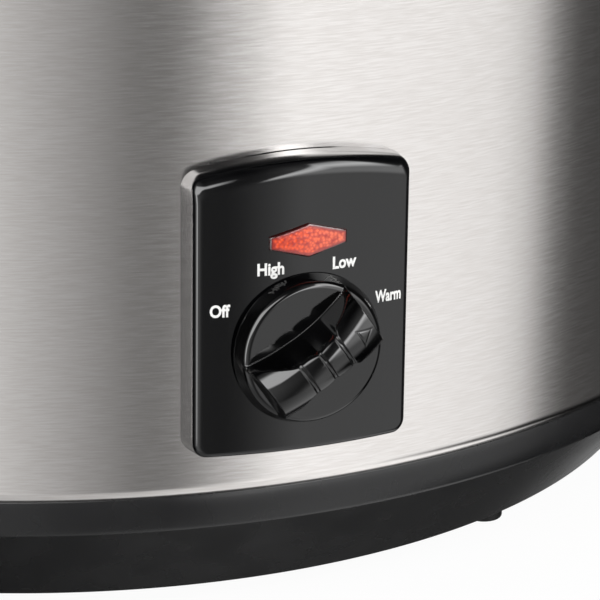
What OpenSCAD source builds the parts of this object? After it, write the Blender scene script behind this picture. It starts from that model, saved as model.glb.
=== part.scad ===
// Oval countertop slow cooker: brushed steel housing on a black skirt, lift-out stoneware crock,
// glass lid and a four-position rotary control. Millimetres, +Z up, front towards -Y.
// Every shell is one section swept round the same four-centre oval, so walls stay parallel.

/* [Housing] */
// Length of the steel housing, end to end
housing_l = 380; // [316:1:456]
// Depth of the steel housing, front to back
housing_d = 280; // [234:1:336]
// Radius of the housing's two ends, seen from above
end_r = 100; // [90:1:106]
// Height of the housing's top edge above the table
housing_top_z = 200; // [180:1:240]
// Thickness of the steel sheet
steel_t = 0.6; // [0.5:0.1:1]
// Radius of the rolled lower edge
bead_r = 4; // [3:0.5:6]
// How far the lower edge is rolled in
bead_in = 2.5; // [1.5:0.5:3.5]
// Width of the flange turned in along the top edge
top_flange_w = 4; // [3:0.5:6]

/* [Base] */
// Height of the base's underside above the table
foot_h = 6; // [4:0.5:12]
// Inset of the underside from the housing
skirt_in = 26; // [18:1:32]
// Inset of the ridge between the two bands
ridge_in = 1.8; // [1:0.1:3]
// Height of the sloping lower band
lower_band_h = 28.1; // [20:0.1:36]
// Height of the upper band
upper_band_h = 9.6; // [7:0.1:16]
// How far the upper band bulges
upper_band_bulge = 0.5; // [0.2:0.1:1]
// Wall of the moulded base
base_t = 2.5; // [2:0.1:4]
// Width of the flat ring underneath
base_ring_w = 25; // [22:1:32]
// Thickness of the bottom plate
plate_t = 0.9; // [0.6:0.1:1.5]
// Left and right place of the feet
foot_x = 85; // [60:1:95]
// Inset of the feet from the housing
foot_in = 37; // [34:1:42]
// Radius of a foot
foot_r = 5.8; // [4:0.1:7]
// Radius of a foot's stem
foot_stem_r = 2.5; // [2:0.1:3]

/* [Inner pot and heater] */
// Gap between housing and inner pot at the top
pot_in = 14; // [12:0.5:18]
// How much further in the pot is at its floor
pot_taper = 4; // [2:0.5:8]
// Height of the pot's underside
pot_floor_z = 60; // [56:1:80]
// Thickness of the pot's sheet
pot_t = 0.8; // [0.6:0.1:1.2]
// Radius between pot wall and floor
pot_corner_r = 10; // [6:1:20]
// Drop of the lip that laps the housing
lip_drop = 5; // [3:0.5:10]
// Height of the heater band
heater_h = 36; // [24:1:48]
// Thickness of the heater band
heater_t = 1.2; // [0.8:0.1:2]

/* [Crock] */
// Gap between pot and crock
crock_gap = 2.2; // [1:0.1:4]
// Thickness of the crock's wall
crock_wall_t = 7; // [5:0.5:9]
// Thickness of the crock's floor
crock_floor_t = 7; // [5:0.5:10]
// Inside corner radius of the crock
crock_corner_r = 16; // [10:1:24]
// Thickness of the crock's rim at the lid seat
crock_rim_h = 6; // [5:0.5:9]
// Height of the bead round the lid seat
crock_bead_h = 5; // [3:0.5:8]
// Inset of the rim's outer edge from the housing
crock_rim_in = 2.5; // [0:0.5:4]
// Reach of the crock's two lugs beyond the housing
lug_out = 12; // [6:1:18]

/* [Lid] */
// Thickness of the glass
glass_t = 4; // [3:0.5:6]
// Height that the glass rises above its edge
lid_rise = 25; // [15:1:35]
// End radius of the lid's flat middle
lid_flat_r = 10; // [6:1:20]
// Radius of the lid's grip
lid_knob_r = 21; // [16:1:26]
// Height of the lid's grip
lid_knob_h = 26; // [20:1:34]
// Distance of the steam vent from the middle
vent_x = 70; // [40:1:80]

/* [Control panel] */
// Width of the panel's face
panel_w = 61.6; // [54:1:72]
// Height of the face's lower edge
panel_z0 = 57.9; // [54:0.1:64]
// Height of the top of the face's arch
panel_z1 = 139.9; // [130:0.1:165]
// How far the face stands out from the housing
panel_depth = 9.5; // [7:0.5:14]
// Radius of the face's bow, seen from above
panel_bow_r = 135; // [110:1:200]
// Radius of the arched top edge
panel_arch_r = 120; // [80:1:200]
// Radius of the panel's corners
panel_corner_r = 4; // [3:0.5:8]
// Radius between the face and the side walls
panel_edge_r = 2; // [1:0.1:3]
// Radius between the face and the top wall
panel_top_edge_r = 5; // [2:0.1:6]
// How much wider the panel is where it meets the housing
panel_draft = 1.1; // [0.5:0.1:3]
// Wall of the panel moulding
panel_t = 2.4; // [1.8:0.1:3]
// Height of the knob's axis
knob_z = 87.5; // [80:0.25:100]
// Height of the pilot light's middle
lens_z = 117.7; // [112:0.1:130]
// Half the width of the pilot light
lens_half_w = 11; // [8:0.1:14]
// Half the height of the pilot light
lens_half_h = 4.8; // [3:0.1:6]
// Half the height of the pilot light's short ends
lens_end_h = 1.8; // [1:0.1:3]

/* [Control knob] */
// Radius of the knob at the panel
knob_r = 21; // [17:0.5:24]
// Radius of the knob's disc
knob_disc_r = 19.4; // [15:0.1:23]
// Height of the disc above the knob's back edge
knob_disc_h = 4.6; // [3:0.1:8]
// Height of the grip's ridge above the knob's back edge
grip_h = 16.3; // [12:0.1:22]
// Radius across the grip's crown
grip_crown_r = 9; // [7:0.1:12]
// Half the length of the grip
grip_half_l = 16.7; // [12:0.1:19]
// Half the width of the grip's waist at the disc
grip_waist = 7; // [5:0.1:9]
// Radius of the grip's hollowed flanks, seen from the front
grip_flank_r = 60; // [40:1:90]
// Lean of the grip's flanks, as width lost for each mm of height
grip_lean = 0.245; // [0.1:0.005:0.4]
// Distance between the grooves across the grip
groove_pitch = 6; // [4:0.5:8]
// Angle of the grip from level at the Warm setting
pointer_angle = 34; // [20:1:45]
// Radius of the switch shaft
shaft_r = 3; // [2.5:0.1:4]

/* [Handles] */
// Height of the handles' middle
handle_z = 150; // [120:1:170]
// Reach of a handle beyond the housing
handle_out = 38; // [30:1:46]
// Thickness of the handle's bar, inwards
handle_bar_t = 12; // [9:0.5:16]
// Height of the handle's bar
handle_bar_h = 20; // [16:1:28]
// Angle from the middle of a handle to each of its posts
handle_half_angle = 28; // [24:1:32]
// Half the width of a post, as an angle
handle_post_half_angle = 4.5; // [4:0.5:6]
// Radius of the handles' long edges
handle_edge_r = 4.5; // [2:0.5:6]

/* [Fits] */
// Radial clearance of the turning shaft
shaft_clear = 0.05; // [0.02:0.01:0.1]
// Gap between pieces that move past each other
move_gap = 0.3; // [0.2:0.05:0.5]
// Gap between pieces that are seated together
seat_gap = 0.1; // [0.05:0.05:0.2]

/* [Hidden] */
$fn = 96;
hull_fn = 32;
tall = 900;
wedge_reach = 4;

half_l = housing_l / 2;
half_d = housing_d / 2;
end_cx = half_l - end_r;
long_cy = (pow(end_cx, 2) - pow(half_d - end_r, 2)) / (2 * (half_d - end_r));
long_r = half_d + long_cy;

base_z = foot_h;
ridge_z = base_z + lower_band_h;
housing_z0 = ridge_z + upper_band_h;
bead_angle = acos((bead_r - bead_in) / bead_r);
bead_z = housing_z0 + bead_r * sin(bead_angle);
lip_in = bead_in + steel_t;
lip_top_z = bead_z + 6;
base_inner_in = lip_in + base_t;
band_run = skirt_in - ridge_in;
band_slope = lower_band_h / band_run;
band_l = norm([band_run, lower_band_h]);
ring_in = skirt_in + base_ring_w;
rebate_w = 7;
rebate_h = plate_t + 0.3;
plate_z = base_z + 0.2;
plate_in = ring_in - rebate_w + 0.4;
screw_in = ring_in - rebate_w / 2;
boss_xs = [-60, 60];

pot_top_z = housing_top_z + pot_t;
pot_in_at_floor = pot_in + pot_taper;
heater_z = pot_floor_z + pot_corner_r + 5;
cover_z = pot_floor_z - 20;

crock_z = pot_top_z + move_gap;
crock_ledge_z = crock_z + crock_rim_h;
crock_top_z = crock_ledge_z + crock_bead_h;
crock_out_in = pot_in + pot_t + crock_gap;
crock_floor_z = pot_floor_z + pot_t + crock_gap;
bead_w = 7;
lug_r = 0.55 * end_r;
lug_cx = end_r + lug_out - lug_r;

lid_edge_in = crock_rim_in + bead_w + 3.5;
lid_run = end_r - lid_flat_r - lid_edge_in;
lid_bow_r = (pow(lid_run, 2) + pow(lid_rise, 2)) / (2 * lid_rise);
lid_skirt_h = 3.4;
lid_edge_z = crock_ledge_z + move_gap + lid_skirt_h;
lid_top_z = lid_edge_z + lid_rise + glass_t;
lid_bow_z = lid_edge_z + lid_rise - lid_bow_r;
lid_hole_r = 4;
vent_hole_r = 4;

knob_out = panel_depth + move_gap;
panel_arch_cz = panel_z1 - panel_arch_r;
lens_proud = 0.8;
switch_half = 12;
switch_front = -1.1;
switch_back = -11.5;
bush_r = 4.5;
gland_z = 70;
gland_hole_r = 7;
gland_bore_r = 3.5;
gland_out = 9;
gland_in = 6;
boss_zs = [panel_z0 + 8, panel_z1 - 8];
handle_screw_r = 2;

front_reach = half_d + knob_out + grip_h;
rear_reach = half_d + gland_out;
centre_y = (front_reach - rear_reach) / 2;

// Points along an arc about c, from angle a0 to a1
function arc_points(c, r, a0, a1, n) =
    [for (i = [0:n]) let (t = a0 + (a1 - a0) * i / n) c + r * [cos(t), sin(t)]];

// Y of the front wall at x, offset outwards by d
function front_y(x, d) = long_cy - sqrt(pow(long_r + d, 2) - pow(x, 2));

// Offset of the inner pot's outside at height z
function pot_offset(z) = -pot_in - pot_taper * (housing_top_z - z) / (housing_top_z - pot_floor_z);

// Places a piece that is drawn about the oval's centre: the origin lies under the middle of the
// whole depth, from the knob's grip to the cord gland
module placed() translate([0, centre_y, 0]) children();

// Local X to the right, Y up and Z out of the front wall
module at_front() translate([0, -half_d, 0]) rotate([90, 0, 0]) children();

module at_back() translate([0, half_d, 0]) rotate([90, 0, 180]) children();

// The knob's own frame: X along the grip, Z out along its axis
module at_knob() at_front() translate([0, knob_z, 0]) rotate([0, 0, pointer_angle]) children();

// Plan regions that split the oval into its two long arcs and its two end arcs
module long_region(side) linear_extrude(tall, center = true)
    polygon([[-end_cx, 0], [end_cx, 0],
             [wedge_reach * end_cx, side * long_cy * (wedge_reach - 1)],
             [-wedge_reach * end_cx, side * long_cy * (wedge_reach - 1)]]);

module end_region(side) linear_extrude(tall, center = true)
    polygon([[side * end_cx, 0],
             [side * wedge_reach * end_cx, -long_cy * (wedge_reach - 1)],
             [side * wedge_reach * end_cx, long_cy * (wedge_reach - 1)]]);

// Sweeps a section round the oval: X is the offset outwards from the housing, Y is the height
module oval_sweep() for (side = [-1, 1]) {
    intersection() {
        long_region(side);
        translate([0, -side * long_cy, 0]) rotate_extrude($fn = 240) translate([long_r, 0]) children();
    }
    intersection() {
        end_region(side);
        translate([side * end_cx, 0, 0]) rotate_extrude() translate([end_r, 0]) children();
    }
}

// A flat oval disc between two heights, its edge offset outwards by d
module oval_disc(d, z0, z1) for (side = [-1, 1]) {
    intersection() {
        long_region(side);
        translate([0, -side * long_cy, z0]) cylinder(r = long_r + d, h = z1 - z0, $fn = 240);
    }
    intersection() {
        end_region(side);
        translate([side * end_cx, 0, z0]) cylinder(r = end_r + d, h = z1 - z0);
    }
}

module ring(r_in, r_out, z0, z1) translate([0, 0, z0]) difference() {
    cylinder(r = r_out, h = z1 - z0);
    translate([0, 0, -1]) cylinder(r = r_in, h = z1 - z0 + 2);
}

module disc(r, z0, z1) translate([0, 0, z0]) cylinder(r = r, h = z1 - z0);

module box(x0, x1, y0, y1, z0, z1) translate([x0, y0, z0]) cube([x1 - x0, y1 - y0, z1 - z0]);

module hexagon(r, z0, z1) translate([0, 0, z0]) linear_extrude(z1 - z0) circle(r, $fn = 6);

module at_feet() for (sx = [-1, 1], sy = [-1, 1])
    translate([sx * foot_x, -sy * front_y(foot_x, -foot_in), 0]) children();

module at_plate_screws() for (x = boss_xs, sy = [-1, 1])
    translate([x, -sy * front_y(x, -screw_in), 0]) children();

// ---- Base ----

// Section of the moulded skirt: flat ring, sloping lower band, bowed upper band and inner lip
module base_section() {
    bulge_r = (pow(upper_band_h / 2, 2) + pow(upper_band_bulge, 2)) / (2 * upper_band_bulge);
    bulge_a = asin(upper_band_h / 2 / bulge_r);
    bulge_c = [-ridge_in - (bulge_r - upper_band_bulge), ridge_z + upper_band_h / 2];
    slope_foot = [-skirt_in - base_t * lower_band_h / band_l, base_z + base_t * band_run / band_l];
    slope_top_z = slope_foot[1] + (-base_inner_in - slope_foot[0]) * band_slope;
    floor_z = base_z + base_t + 0.5;
    polygon(concat(
        [[-ring_in + rebate_w, base_z], [-skirt_in - 0.6, base_z], [-skirt_in, base_z + 0.5]],
        arc_points(bulge_c, bulge_r, -bulge_a, bulge_a, 6),
        [[-lip_in, housing_z0], [-lip_in, lip_top_z], [-base_inner_in, lip_top_z],
         [-base_inner_in, slope_top_z],
         [slope_foot[0] + (floor_z - slope_foot[1]) / band_slope, floor_z],
         [-ring_in, floor_z], [-ring_in, base_z + rebate_h],
         [-ring_in + rebate_w, base_z + rebate_h]]));
}

module base_tray() color("#232324") placed() difference() {
    union() {
        oval_sweep() base_section();
        at_plate_screws() disc(3.6, base_z + rebate_h + 0.5, base_z + 14);
    }
    at_feet() disc(foot_stem_r + seat_gap, base_z - 1, base_z + 8);
    at_plate_screws() disc(1.6, base_z, base_z + 12);
}

module bottom_plate() color("#a9aaac") placed() difference() {
    oval_disc(-plate_in, plate_z, plate_z + plate_t);
    at_plate_screws() disc(1.8, plate_z - 1, plate_z + 2);
    disc(3.4, plate_z - 1, plate_z + 2);
    for (row = [-2:2], col = [-3:3]) if (row != 0 || col != 0)
        translate([col * 26, row * 24, plate_z - 1]) {
            translate([-7, -1.5, 0]) cube([14, 3, 3]);
            for (s = [-1, 1]) translate([s * 7, 0, 0]) cylinder(r = 1.5, h = 3);
        }
}

module plate_screws() color("#c2c3c5") placed() at_plate_screws() {
    disc(3, plate_z - 1.6, plate_z);
    disc(1.5, plate_z - 0.2, base_z + 11);
}

module feet() color("#141414") placed() at_feet() rotate_extrude()
    polygon([[0, 0], [foot_r - 0.8, 0], [foot_r, 0.8], [foot_r, foot_h - 1.2], [foot_r - 0.4, foot_h],
             [foot_stem_r, foot_h], [foot_stem_r, base_z + base_t + 0.6],
             [foot_stem_r + 1, base_z + base_t + 0.6], [foot_stem_r, base_z + base_t + 3.4],
             [0, base_z + base_t + 3.4]]);

// ---- Housing ----

module housing_wrap() color("#c9c8c6") placed() difference() {
    oval_sweep() polygon(concat(
        arc_points([-bead_r, bead_z], bead_r, -bead_angle, 0, 8),
        [[0, housing_top_z], [-top_flange_w, housing_top_z],
         [-top_flange_w, housing_top_z - steel_t], [-steel_t, housing_top_z - steel_t]],
        arc_points([-bead_r, bead_z], bead_r - steel_t, 0, -bead_angle, 8)));
    at_front() translate([0, 0, -5]) {
        translate([0, knob_z, 0]) cylinder(r = bush_r + 0.3, h = 10);
        for (z = boss_zs) translate([0, z, 0]) cylinder(r = 1.6, h = 10);
        for (s = [-1, 1]) translate([s * 6, lens_z - 7, 0]) cylinder(r = 2, h = 10);
    }
    at_back() translate([0, gland_z, -5]) cylinder(r = gland_hole_r + 0.2, h = 10);
    at_handle_screws() translate([0, 0, -5]) cylinder(r = handle_screw_r + 0.3, h = 10);
}

// ---- Inner pot, heater and what hangs on them ----

module inner_pot() color("#b7b8ba") placed() {
    wall_foot_in = pot_in + pot_taper * (housing_top_z - pot_floor_z - pot_corner_r)
                   / (housing_top_z - pot_floor_z);
    oval_sweep() polygon(concat(
        [[0.3, pot_top_z - pot_t - lip_drop], [0.3 + pot_t, pot_top_z - pot_t - lip_drop],
         [0.3 + pot_t, pot_top_z], [-pot_in - pot_t, pot_top_z]],
        arc_points([-wall_foot_in - pot_corner_r, pot_floor_z + pot_corner_r], pot_corner_r - pot_t,
                   0, -90, 8),
        arc_points([-wall_foot_in - pot_corner_r, pot_floor_z + pot_corner_r], pot_corner_r,
                   -90, 0, 8),
        [[-pot_in, housing_top_z], [0.3, housing_top_z]]));
    oval_disc(-wall_foot_in - pot_corner_r, pot_floor_z, pot_floor_z + pot_t);
}

module band_section(z0, z1, gap, t) polygon([
    [pot_offset(z0) + gap, z0], [pot_offset(z0) + gap + t, z0],
    [pot_offset(z1) + gap + t, z1], [pot_offset(z1) + gap, z1]]);

module heater_band() color("#8d8672") placed() difference() {
    oval_sweep() band_section(heater_z, heater_z + heater_h, 2 * seat_gap, heater_t);
    box(-9, 9, 0, half_d, heater_z - 1, heater_z + heater_h + 1);
}

// Three spring clips over the band, each with its feet on the pot above and below it
module heater_clips() color("#9b9c9e") placed() intersection() {
    oval_sweep() difference() {
        band_section(heater_z - 5, heater_z + heater_h + 5, 2 * seat_gap, heater_t + 1.2);
        band_section(heater_z - 0.4, heater_z + heater_h + 0.4, 0, heater_t + 0.5);
    }
    union() {
        for (s = [-1, 1]) box(s * 70 - 6, s * 70 + 6, -half_d, 0, heater_z - 8, heater_z + heater_h + 8);
        box(44, 56, 0, half_d, heater_z - 8, heater_z + heater_h + 8);
    }
}

module base_reflector() color("#b2b3b5") placed() difference() {
    union() {
        oval_disc(-pot_in_at_floor - 12, cover_z, cover_z + 0.5);
        oval_sweep() polygon([[-pot_in_at_floor - 12, cover_z], [-pot_in_at_floor - 6, cover_z + 8],
                              [-pot_in_at_floor - 6.6, cover_z + 8],
                              [-pot_in_at_floor - 12.4, cover_z + 0.5],
                              [-pot_in_at_floor - 14, cover_z + 0.5], [-pot_in_at_floor - 14, cover_z]]);
    }
    disc(3.2, cover_z - 1, cover_z + 2);
}

module tie_bolt() color("#b9babc") placed() {
    disc(9, pot_floor_z - 1.2, pot_floor_z - seat_gap);
    disc(6, cover_z + 0.5 + seat_gap, cover_z + 2.5);
    disc(3, plate_z - 4, pot_floor_z - 1);
}

module tie_nuts() color("#bfc0c2") placed() for (top_z = [cover_z - seat_gap, plate_z - seat_gap])
    difference() {
        hexagon(5.8, top_z - 3, top_z);
        disc(3.1, top_z - 5, top_z + 1);
    }

module thermal_fuse() color("#d8d4c8") placed() translate([45, 0, pot_floor_z - 3.1])
    rotate([0, 90, 0]) {
        translate([0, 0, -6]) cylinder(r = 2, h = 12);
        translate([0, 0, -16]) cylinder(r = 0.5, h = 32);
    }

module fuse_clip() color("#9b9c9e") placed() translate([45, 0, pot_floor_z - 3.1]) {
    rotate([0, 90, 0]) ring(2.05, 2.85, -3, 3);
    difference() {
        box(-3, 3, 0, 14, 2.1, 3);
        rotate([0, 90, 0]) translate([0, 0, -5]) cylinder(r = 2.4, h = 10);
    }
}

// ---- Control panel ----

// Outline of the panel's face, inset by i and at the top by top_i: straight sides, arched top and
// rounded corners
function panel_outline(i, top_i) =
    let (w = panel_w / 2 - i,
         r = max(panel_corner_r - i, 0.6),
         z0 = panel_z0 + i,
         arch_r = panel_arch_r - top_i,
         corner_z = panel_arch_cz + sqrt(pow(arch_r - r, 2) - pow(w - r, 2)),
         turn = atan2(corner_z - panel_arch_cz, w - r))
    concat(
        arc_points([w - r, z0 + r], r, -90, 0, 6),
        arc_points([w - r, corner_z], r, 0, turn, 6),
        arc_points([0, panel_arch_cz], arch_r, turn, 180 - turn, 12),
        arc_points([r - w, corner_z], r, 180 - turn, 180, 6),
        arc_points([r - w, z0 + r], r, 180, 270, 6));

// An upright cylinder that bows the panel's face, set back by s
module bow(s, fn) translate([0, 0, panel_depth - panel_bow_r]) rotate([-90, 0, 0])
    cylinder(r = panel_bow_r - s, h = tall, center = true, $fn = fn);

module bowed_outline(i, top_i, s) intersection() {
    translate([0, 0, -1]) linear_extrude(panel_depth + 2) polygon(panel_outline(i, top_i));
    bow(s, 240);
}

// The panel's outside, from the wider outline at the housing to the rounded edge of the face
module panel_block() hull() {
    translate([0, 0, -6]) linear_extrude(1) polygon(panel_outline(-panel_draft, 0));
    for (t = [0:30:90]) {
        bowed_outline(panel_edge_r * (1 - sin(t)), panel_top_edge_r, panel_edge_r * (1 - cos(t)));
        bowed_outline(panel_edge_r, panel_top_edge_r * (1 - sin(t)), panel_top_edge_r * (1 - cos(t)));
    }
    bowed_outline(0, 0, panel_top_edge_r);
}

module lens_outline(grow) polygon([
    [-lens_half_w - grow, lens_end_h + grow / 2], [-lens_half_w - grow, -lens_end_h - grow / 2],
    [0, -lens_half_h - grow], [lens_half_w + grow, -lens_end_h - grow / 2],
    [lens_half_w + grow, lens_end_h + grow / 2], [0, lens_half_h + grow]]);

module control_bezel() color("#0d0d0e") placed() at_front() difference() {
    union() {
        difference() {
            panel_block();
            intersection() {
                translate([0, 0, -20]) linear_extrude(60) polygon(panel_outline(panel_t, panel_t));
                bow(panel_t, 360);
            }
            translate([0, 0, -long_r]) rotate([-90, 0, 0])
                cylinder(r = long_r + seat_gap, h = tall, center = true, $fn = 480);
        }
        for (z = boss_zs) translate([0, z, 0]) ring(1.3, 3.4, 2 * seat_gap, panel_depth - panel_t + 0.5);
    }
    translate([0, knob_z, 0]) cylinder(r = shaft_r + 1, h = 40);
    translate([0, lens_z, 0]) linear_extrude(40) lens_outline(0.15);
}

module bezel_screws() color("#c2c3c5") placed() at_front() for (z = boss_zs) translate([0, z, 0]) {
    disc(2.8, -2.6, -steel_t - seat_gap);
    disc(1.2, -1.5, panel_depth - panel_t - 1);
}

module pilot_lens() color("#c8201a") placed() at_front() translate([0, lens_z, 0]) {
    intersection() {
        linear_extrude(40) lens_outline(0);
        translate([0, -lens_z, 0]) difference() {
            bow(-lens_proud, 360);
            bow(panel_t + 1, 360);
        }
    }
    intersection() {
        linear_extrude(40) lens_outline(1.5);
        translate([0, -lens_z, 0]) difference() {
            bow(panel_t + seat_gap, 360);
            bow(panel_t + 1, 360);
        }
    }
}

lamp_out = 2.9;

module neon_lamp() color("#ff7a33") placed() at_front() translate([-8, lens_z, lamp_out])
    rotate([0, 90, 0]) {
        cylinder(r = 1.8, h = 14);
        translate([0, 0, 14]) cylinder(r1 = 1.8, r2 = 0.8, h = 2);
    }

module lamp_holder() color("#e6e2d6") placed() at_front() translate([0, lens_z, 0]) difference() {
    union() {
        box(-9, 9, -4, 4, 2 * seat_gap, 0.9);
        for (x = [-6, 4]) translate([x, 0, lamp_out]) rotate([0, 90, 0]) ring(1.85, 2.8, 0, 2);
    }
    box(-10, 10, -5, 5, lamp_out + 0.6, 20);
    translate([-12, 0, lamp_out]) rotate([0, 90, 0]) cylinder(r = 1.85, h = 24);
}

module rotary_switch() color("#d9d5c6") placed() at_front() translate([0, knob_z, 0]) difference() {
    union() {
        linear_extrude_between(switch_back, switch_front) rounded_square(switch_half, 3);
        disc(8, switch_front - 1, -steel_t - 2 * seat_gap);
        disc(bush_r, switch_front - 1, 5);
    }
    disc(shaft_r + shaft_clear, switch_back + 2, 20);
}

module linear_extrude_between(z0, z1) translate([0, 0, z0]) linear_extrude(z1 - z0) children();

module rounded_square(half, r) {
    square([2 * half, 2 * (half - r)], center = true);
    square([2 * (half - r), 2 * half], center = true);
    for (x = [-1, 1], y = [-1, 1]) translate([x * (half - r), y * (half - r)]) circle(r);
}

terminal_xs = [-8.4, -2.8, 2.8, 8.4];

module switch_terminals() color("#c9a14a") placed() at_front()
    for (x = terminal_xs) translate([x, knob_z - switch_half, 0]) difference() {
        box(-1.6, 1.6, -8, 0, -8.4, -7.6);
        translate([0, -5.5, -10]) cylinder(r = 0.7, h = 5);
    }

module switch_nut() color("#c2c3c5") placed() at_front() translate([0, knob_z, 0]) difference() {
    hexagon(7.4, seat_gap, 2.6);
    disc(bush_r + 0.05, -1, 4);
}

// Two insulated leads round the gap between housing and pot, from the gland to the switch
module lead_wires() color("#8a3b2c") placed() {
    wire_r = 1.2;
    wire_in = 8;
    wire_z = lip_top_z + 2;
    difference() {
        oval_sweep() translate([-wire_in, wire_z]) circle(wire_r, $fn = 16);
        box(-terminal_xs[3], terminal_xs[3], -half_d, 0, wire_z - 5, wire_z + 5);
        box(-4, 4, 0, half_d, wire_z - 5, wire_z + 5);
    }
    for (s = [-1, 1]) translate([s * terminal_xs[3], front_y(terminal_xs[3], -wire_in), 0])
        disc(wire_r, wire_z, knob_z - switch_half - 8.3);
}

// ---- Cord gland ----

module cord_gland() color("#161616") placed() at_back() translate([0, gland_z, 0]) difference() {
    union() {
        translate([0, 0, seat_gap]) rotate_extrude()
            polygon([[0, 0], [10, 0], [10, 2.4], [8.6, 4], [6.4, gland_out - seat_gap], [0, gland_out - seat_gap]]);
        disc(gland_hole_r, -gland_in, 1);
    }
    disc(gland_bore_r, -gland_in - 1, gland_out + 1);
}

module gland_nut() color("#1d1d1e") placed() at_back() translate([0, gland_z, 0]) difference() {
    hexagon(10.6, -steel_t - move_gap - 3.6, -steel_t - move_gap);
    disc(gland_hole_r + 0.05, -10, 2);
}

// ---- Handles ----

module at_end(side) translate([side * end_cx, 0, 0]) rotate([0, 0, side > 0 ? 0 : 180]) children();

// Local Z points out of the end wall at each handle post
module at_posts() for (t = [-1, 1]) rotate([0, 0, t * handle_half_angle])
    translate([end_r, 0, handle_z]) rotate([0, 90, 0]) children();

module at_handle_screws() for (side = [-1, 1]) at_end(side) at_posts() children();

// A wedge of plan about an end's centre, between angles -a and +a
module sector(a) polygon([[0, 0], [3 * end_r * cos(a), -3 * end_r * sin(a)],
                          [3 * end_r * cos(a), 3 * end_r * sin(a)]]);

// One handle: a loop with rounded edges, its two posts fitted to the end wall
module handle(side) at_end(side) {
    bar_in_r = end_r + handle_out - handle_bar_t;
    half_h = handle_bar_h / 2;
    difference() {
        intersection() {
            rotate_extrude() translate([end_r, handle_z]) {
                translate([-3, -half_h]) square([handle_out - handle_edge_r + 3, handle_bar_h]);
                translate([-3, handle_edge_r - half_h])
                    square([handle_out + 3, handle_bar_h - 2 * handle_edge_r]);
                for (s = [-1, 1]) translate([handle_out - handle_edge_r, s * (half_h - handle_edge_r)])
                    circle(handle_edge_r);
            }
            translate([0, 0, handle_z - half_h - 1]) linear_extrude(handle_bar_h + 2) difference() {
                sector(handle_half_angle + handle_post_half_angle);
                intersection() {
                    sector(handle_half_angle - handle_post_half_angle);
                    circle(bar_in_r);
                }
            }
        }
        cylinder(r = end_r + seat_gap, h = tall);
        at_posts() translate([0, 0, -6]) cylinder(r = handle_screw_r + seat_gap, h = 24);
    }
}

module handle_left() color("#18181a") placed() handle(-1);

module handle_right() color("#18181a") placed() handle(1);

module handle_screws() color("#c2c3c5") placed() at_handle_screws() {
    disc(handle_screw_r, -4, 16);
    disc(4, -6, -3.2);
}

module handle_washers() color("#b0b1b3") placed() at_handle_screws()
    ring(handle_screw_r + seat_gap, 6, -3.1, -1.6);

// ---- Switch shaft and knob ----

module switch_shaft() color("#b4b5b7") placed() at_knob() difference() {
    disc(shaft_r, switch_back + 2.2, knob_out + 9.6);
    box(-5, 5, 2, 5, knob_out + 0.8, knob_out + 12);
}

// Side outline of the grip: leaning ends with rounded tops
module grip_side() {
    r = 2.2;
    lean = 0.8;
    polygon(concat(
        [[grip_half_l + lean, 0]],
        arc_points([grip_half_l - r, grip_h - r], r, 4, 90, 5),
        arc_points([r - grip_half_l, grip_h - r], r, 90, 176, 5),
        [[-grip_half_l - lean, 0]]));
}

// The grip: a barrel crown over straight sides, its flanks hollowed by two leaning cones
module grip() difference() {
    intersection() {
        rotate([90, 0, 0]) linear_extrude(4 * grip_crown_r, center = true) grip_side();
        rotate([90, 0, 90]) linear_extrude(3 * grip_half_l, center = true) union() {
            translate([0, grip_h - grip_crown_r]) circle(grip_crown_r);
            translate([-grip_crown_r - 0.6, 0]) square([2 * grip_crown_r + 1.2, grip_h - grip_crown_r]);
        }
    }
    for (s = [-1, 1]) translate([0, s * (grip_waist + grip_flank_r), 0])
        cylinder(r1 = grip_flank_r - grip_lean * knob_disc_h,
                 r2 = grip_flank_r + grip_lean * (grip_h + 1 - knob_disc_h), h = grip_h + 1);
    for (k = [-1:1]) translate([k * groove_pitch, 0, grip_h - grip_crown_r]) rotate([0, 90, 0])
        rotate_extrude() polygon([[grip_crown_r - 0.45, 0], [grip_crown_r + 1, -0.7],
                                  [grip_crown_r + 1, 0.7]]);
}

module control_knob() color("#0c0c0d") placed() at_knob() translate([0, 0, knob_out]) difference() {
    union() {
        rotate_extrude() polygon(concat(
            [[0, 0], [knob_r, 0], [knob_r, 0.5]],
            arc_points([knob_disc_r - 1, knob_disc_h - 1], 1, 20, 90, 5),
            [[0, knob_disc_h]]));
        grip();
    }
    ring(5.6, knob_disc_r - 1.6, -1, knob_disc_h - 2);
    disc(shaft_r + seat_gap, -1, 10);
}

// Spring insert between the shaft's flat and the knob's bore
module knob_clip() color("#c9cacc") placed() at_knob() intersection() {
    disc(shaft_r, knob_out + 1, knob_out + 9);
    box(-5, 5, 2 + seat_gap, 5, knob_out, knob_out + 12);
}

// ---- Crock ----

module crock() color("#191817") placed() {
    wall_z0 = crock_floor_z + crock_corner_r;
    out_at = function (z) -crock_out_in - pot_taper * (crock_z - z) / (crock_z - crock_floor_z);
    inner_r = crock_corner_r - 2;
    floor_top = crock_floor_z + crock_floor_t;
    inner_x = out_at(floor_top + inner_r) - crock_wall_t;
    rim_out = -crock_rim_in;
    oval_sweep() polygon(concat(
        [[-crock_out_in, crock_z], [rim_out - 1.5, crock_z], [rim_out, crock_z + 1.5]],
        arc_points([rim_out - 2, crock_top_z - 2], 2, 0, 90, 4),
        arc_points([rim_out - bead_w + 2, crock_top_z - 2], 2, 90, 180, 4),
        [[rim_out - bead_w - 0.4, crock_ledge_z]],
        arc_points([-crock_out_in - crock_wall_t + 2, crock_ledge_z - 2], 2, 90, 180, 4),
        arc_points([inner_x - inner_r, floor_top + inner_r], inner_r, 0, -90, 8),
        arc_points([out_at(wall_z0) - crock_corner_r, wall_z0], crock_corner_r, -90, 0, 8)));
    oval_disc(out_at(wall_z0) - crock_corner_r, crock_floor_z, floor_top);
    for (side = [-1, 1]) at_end(side) crock_lug();
}

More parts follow.
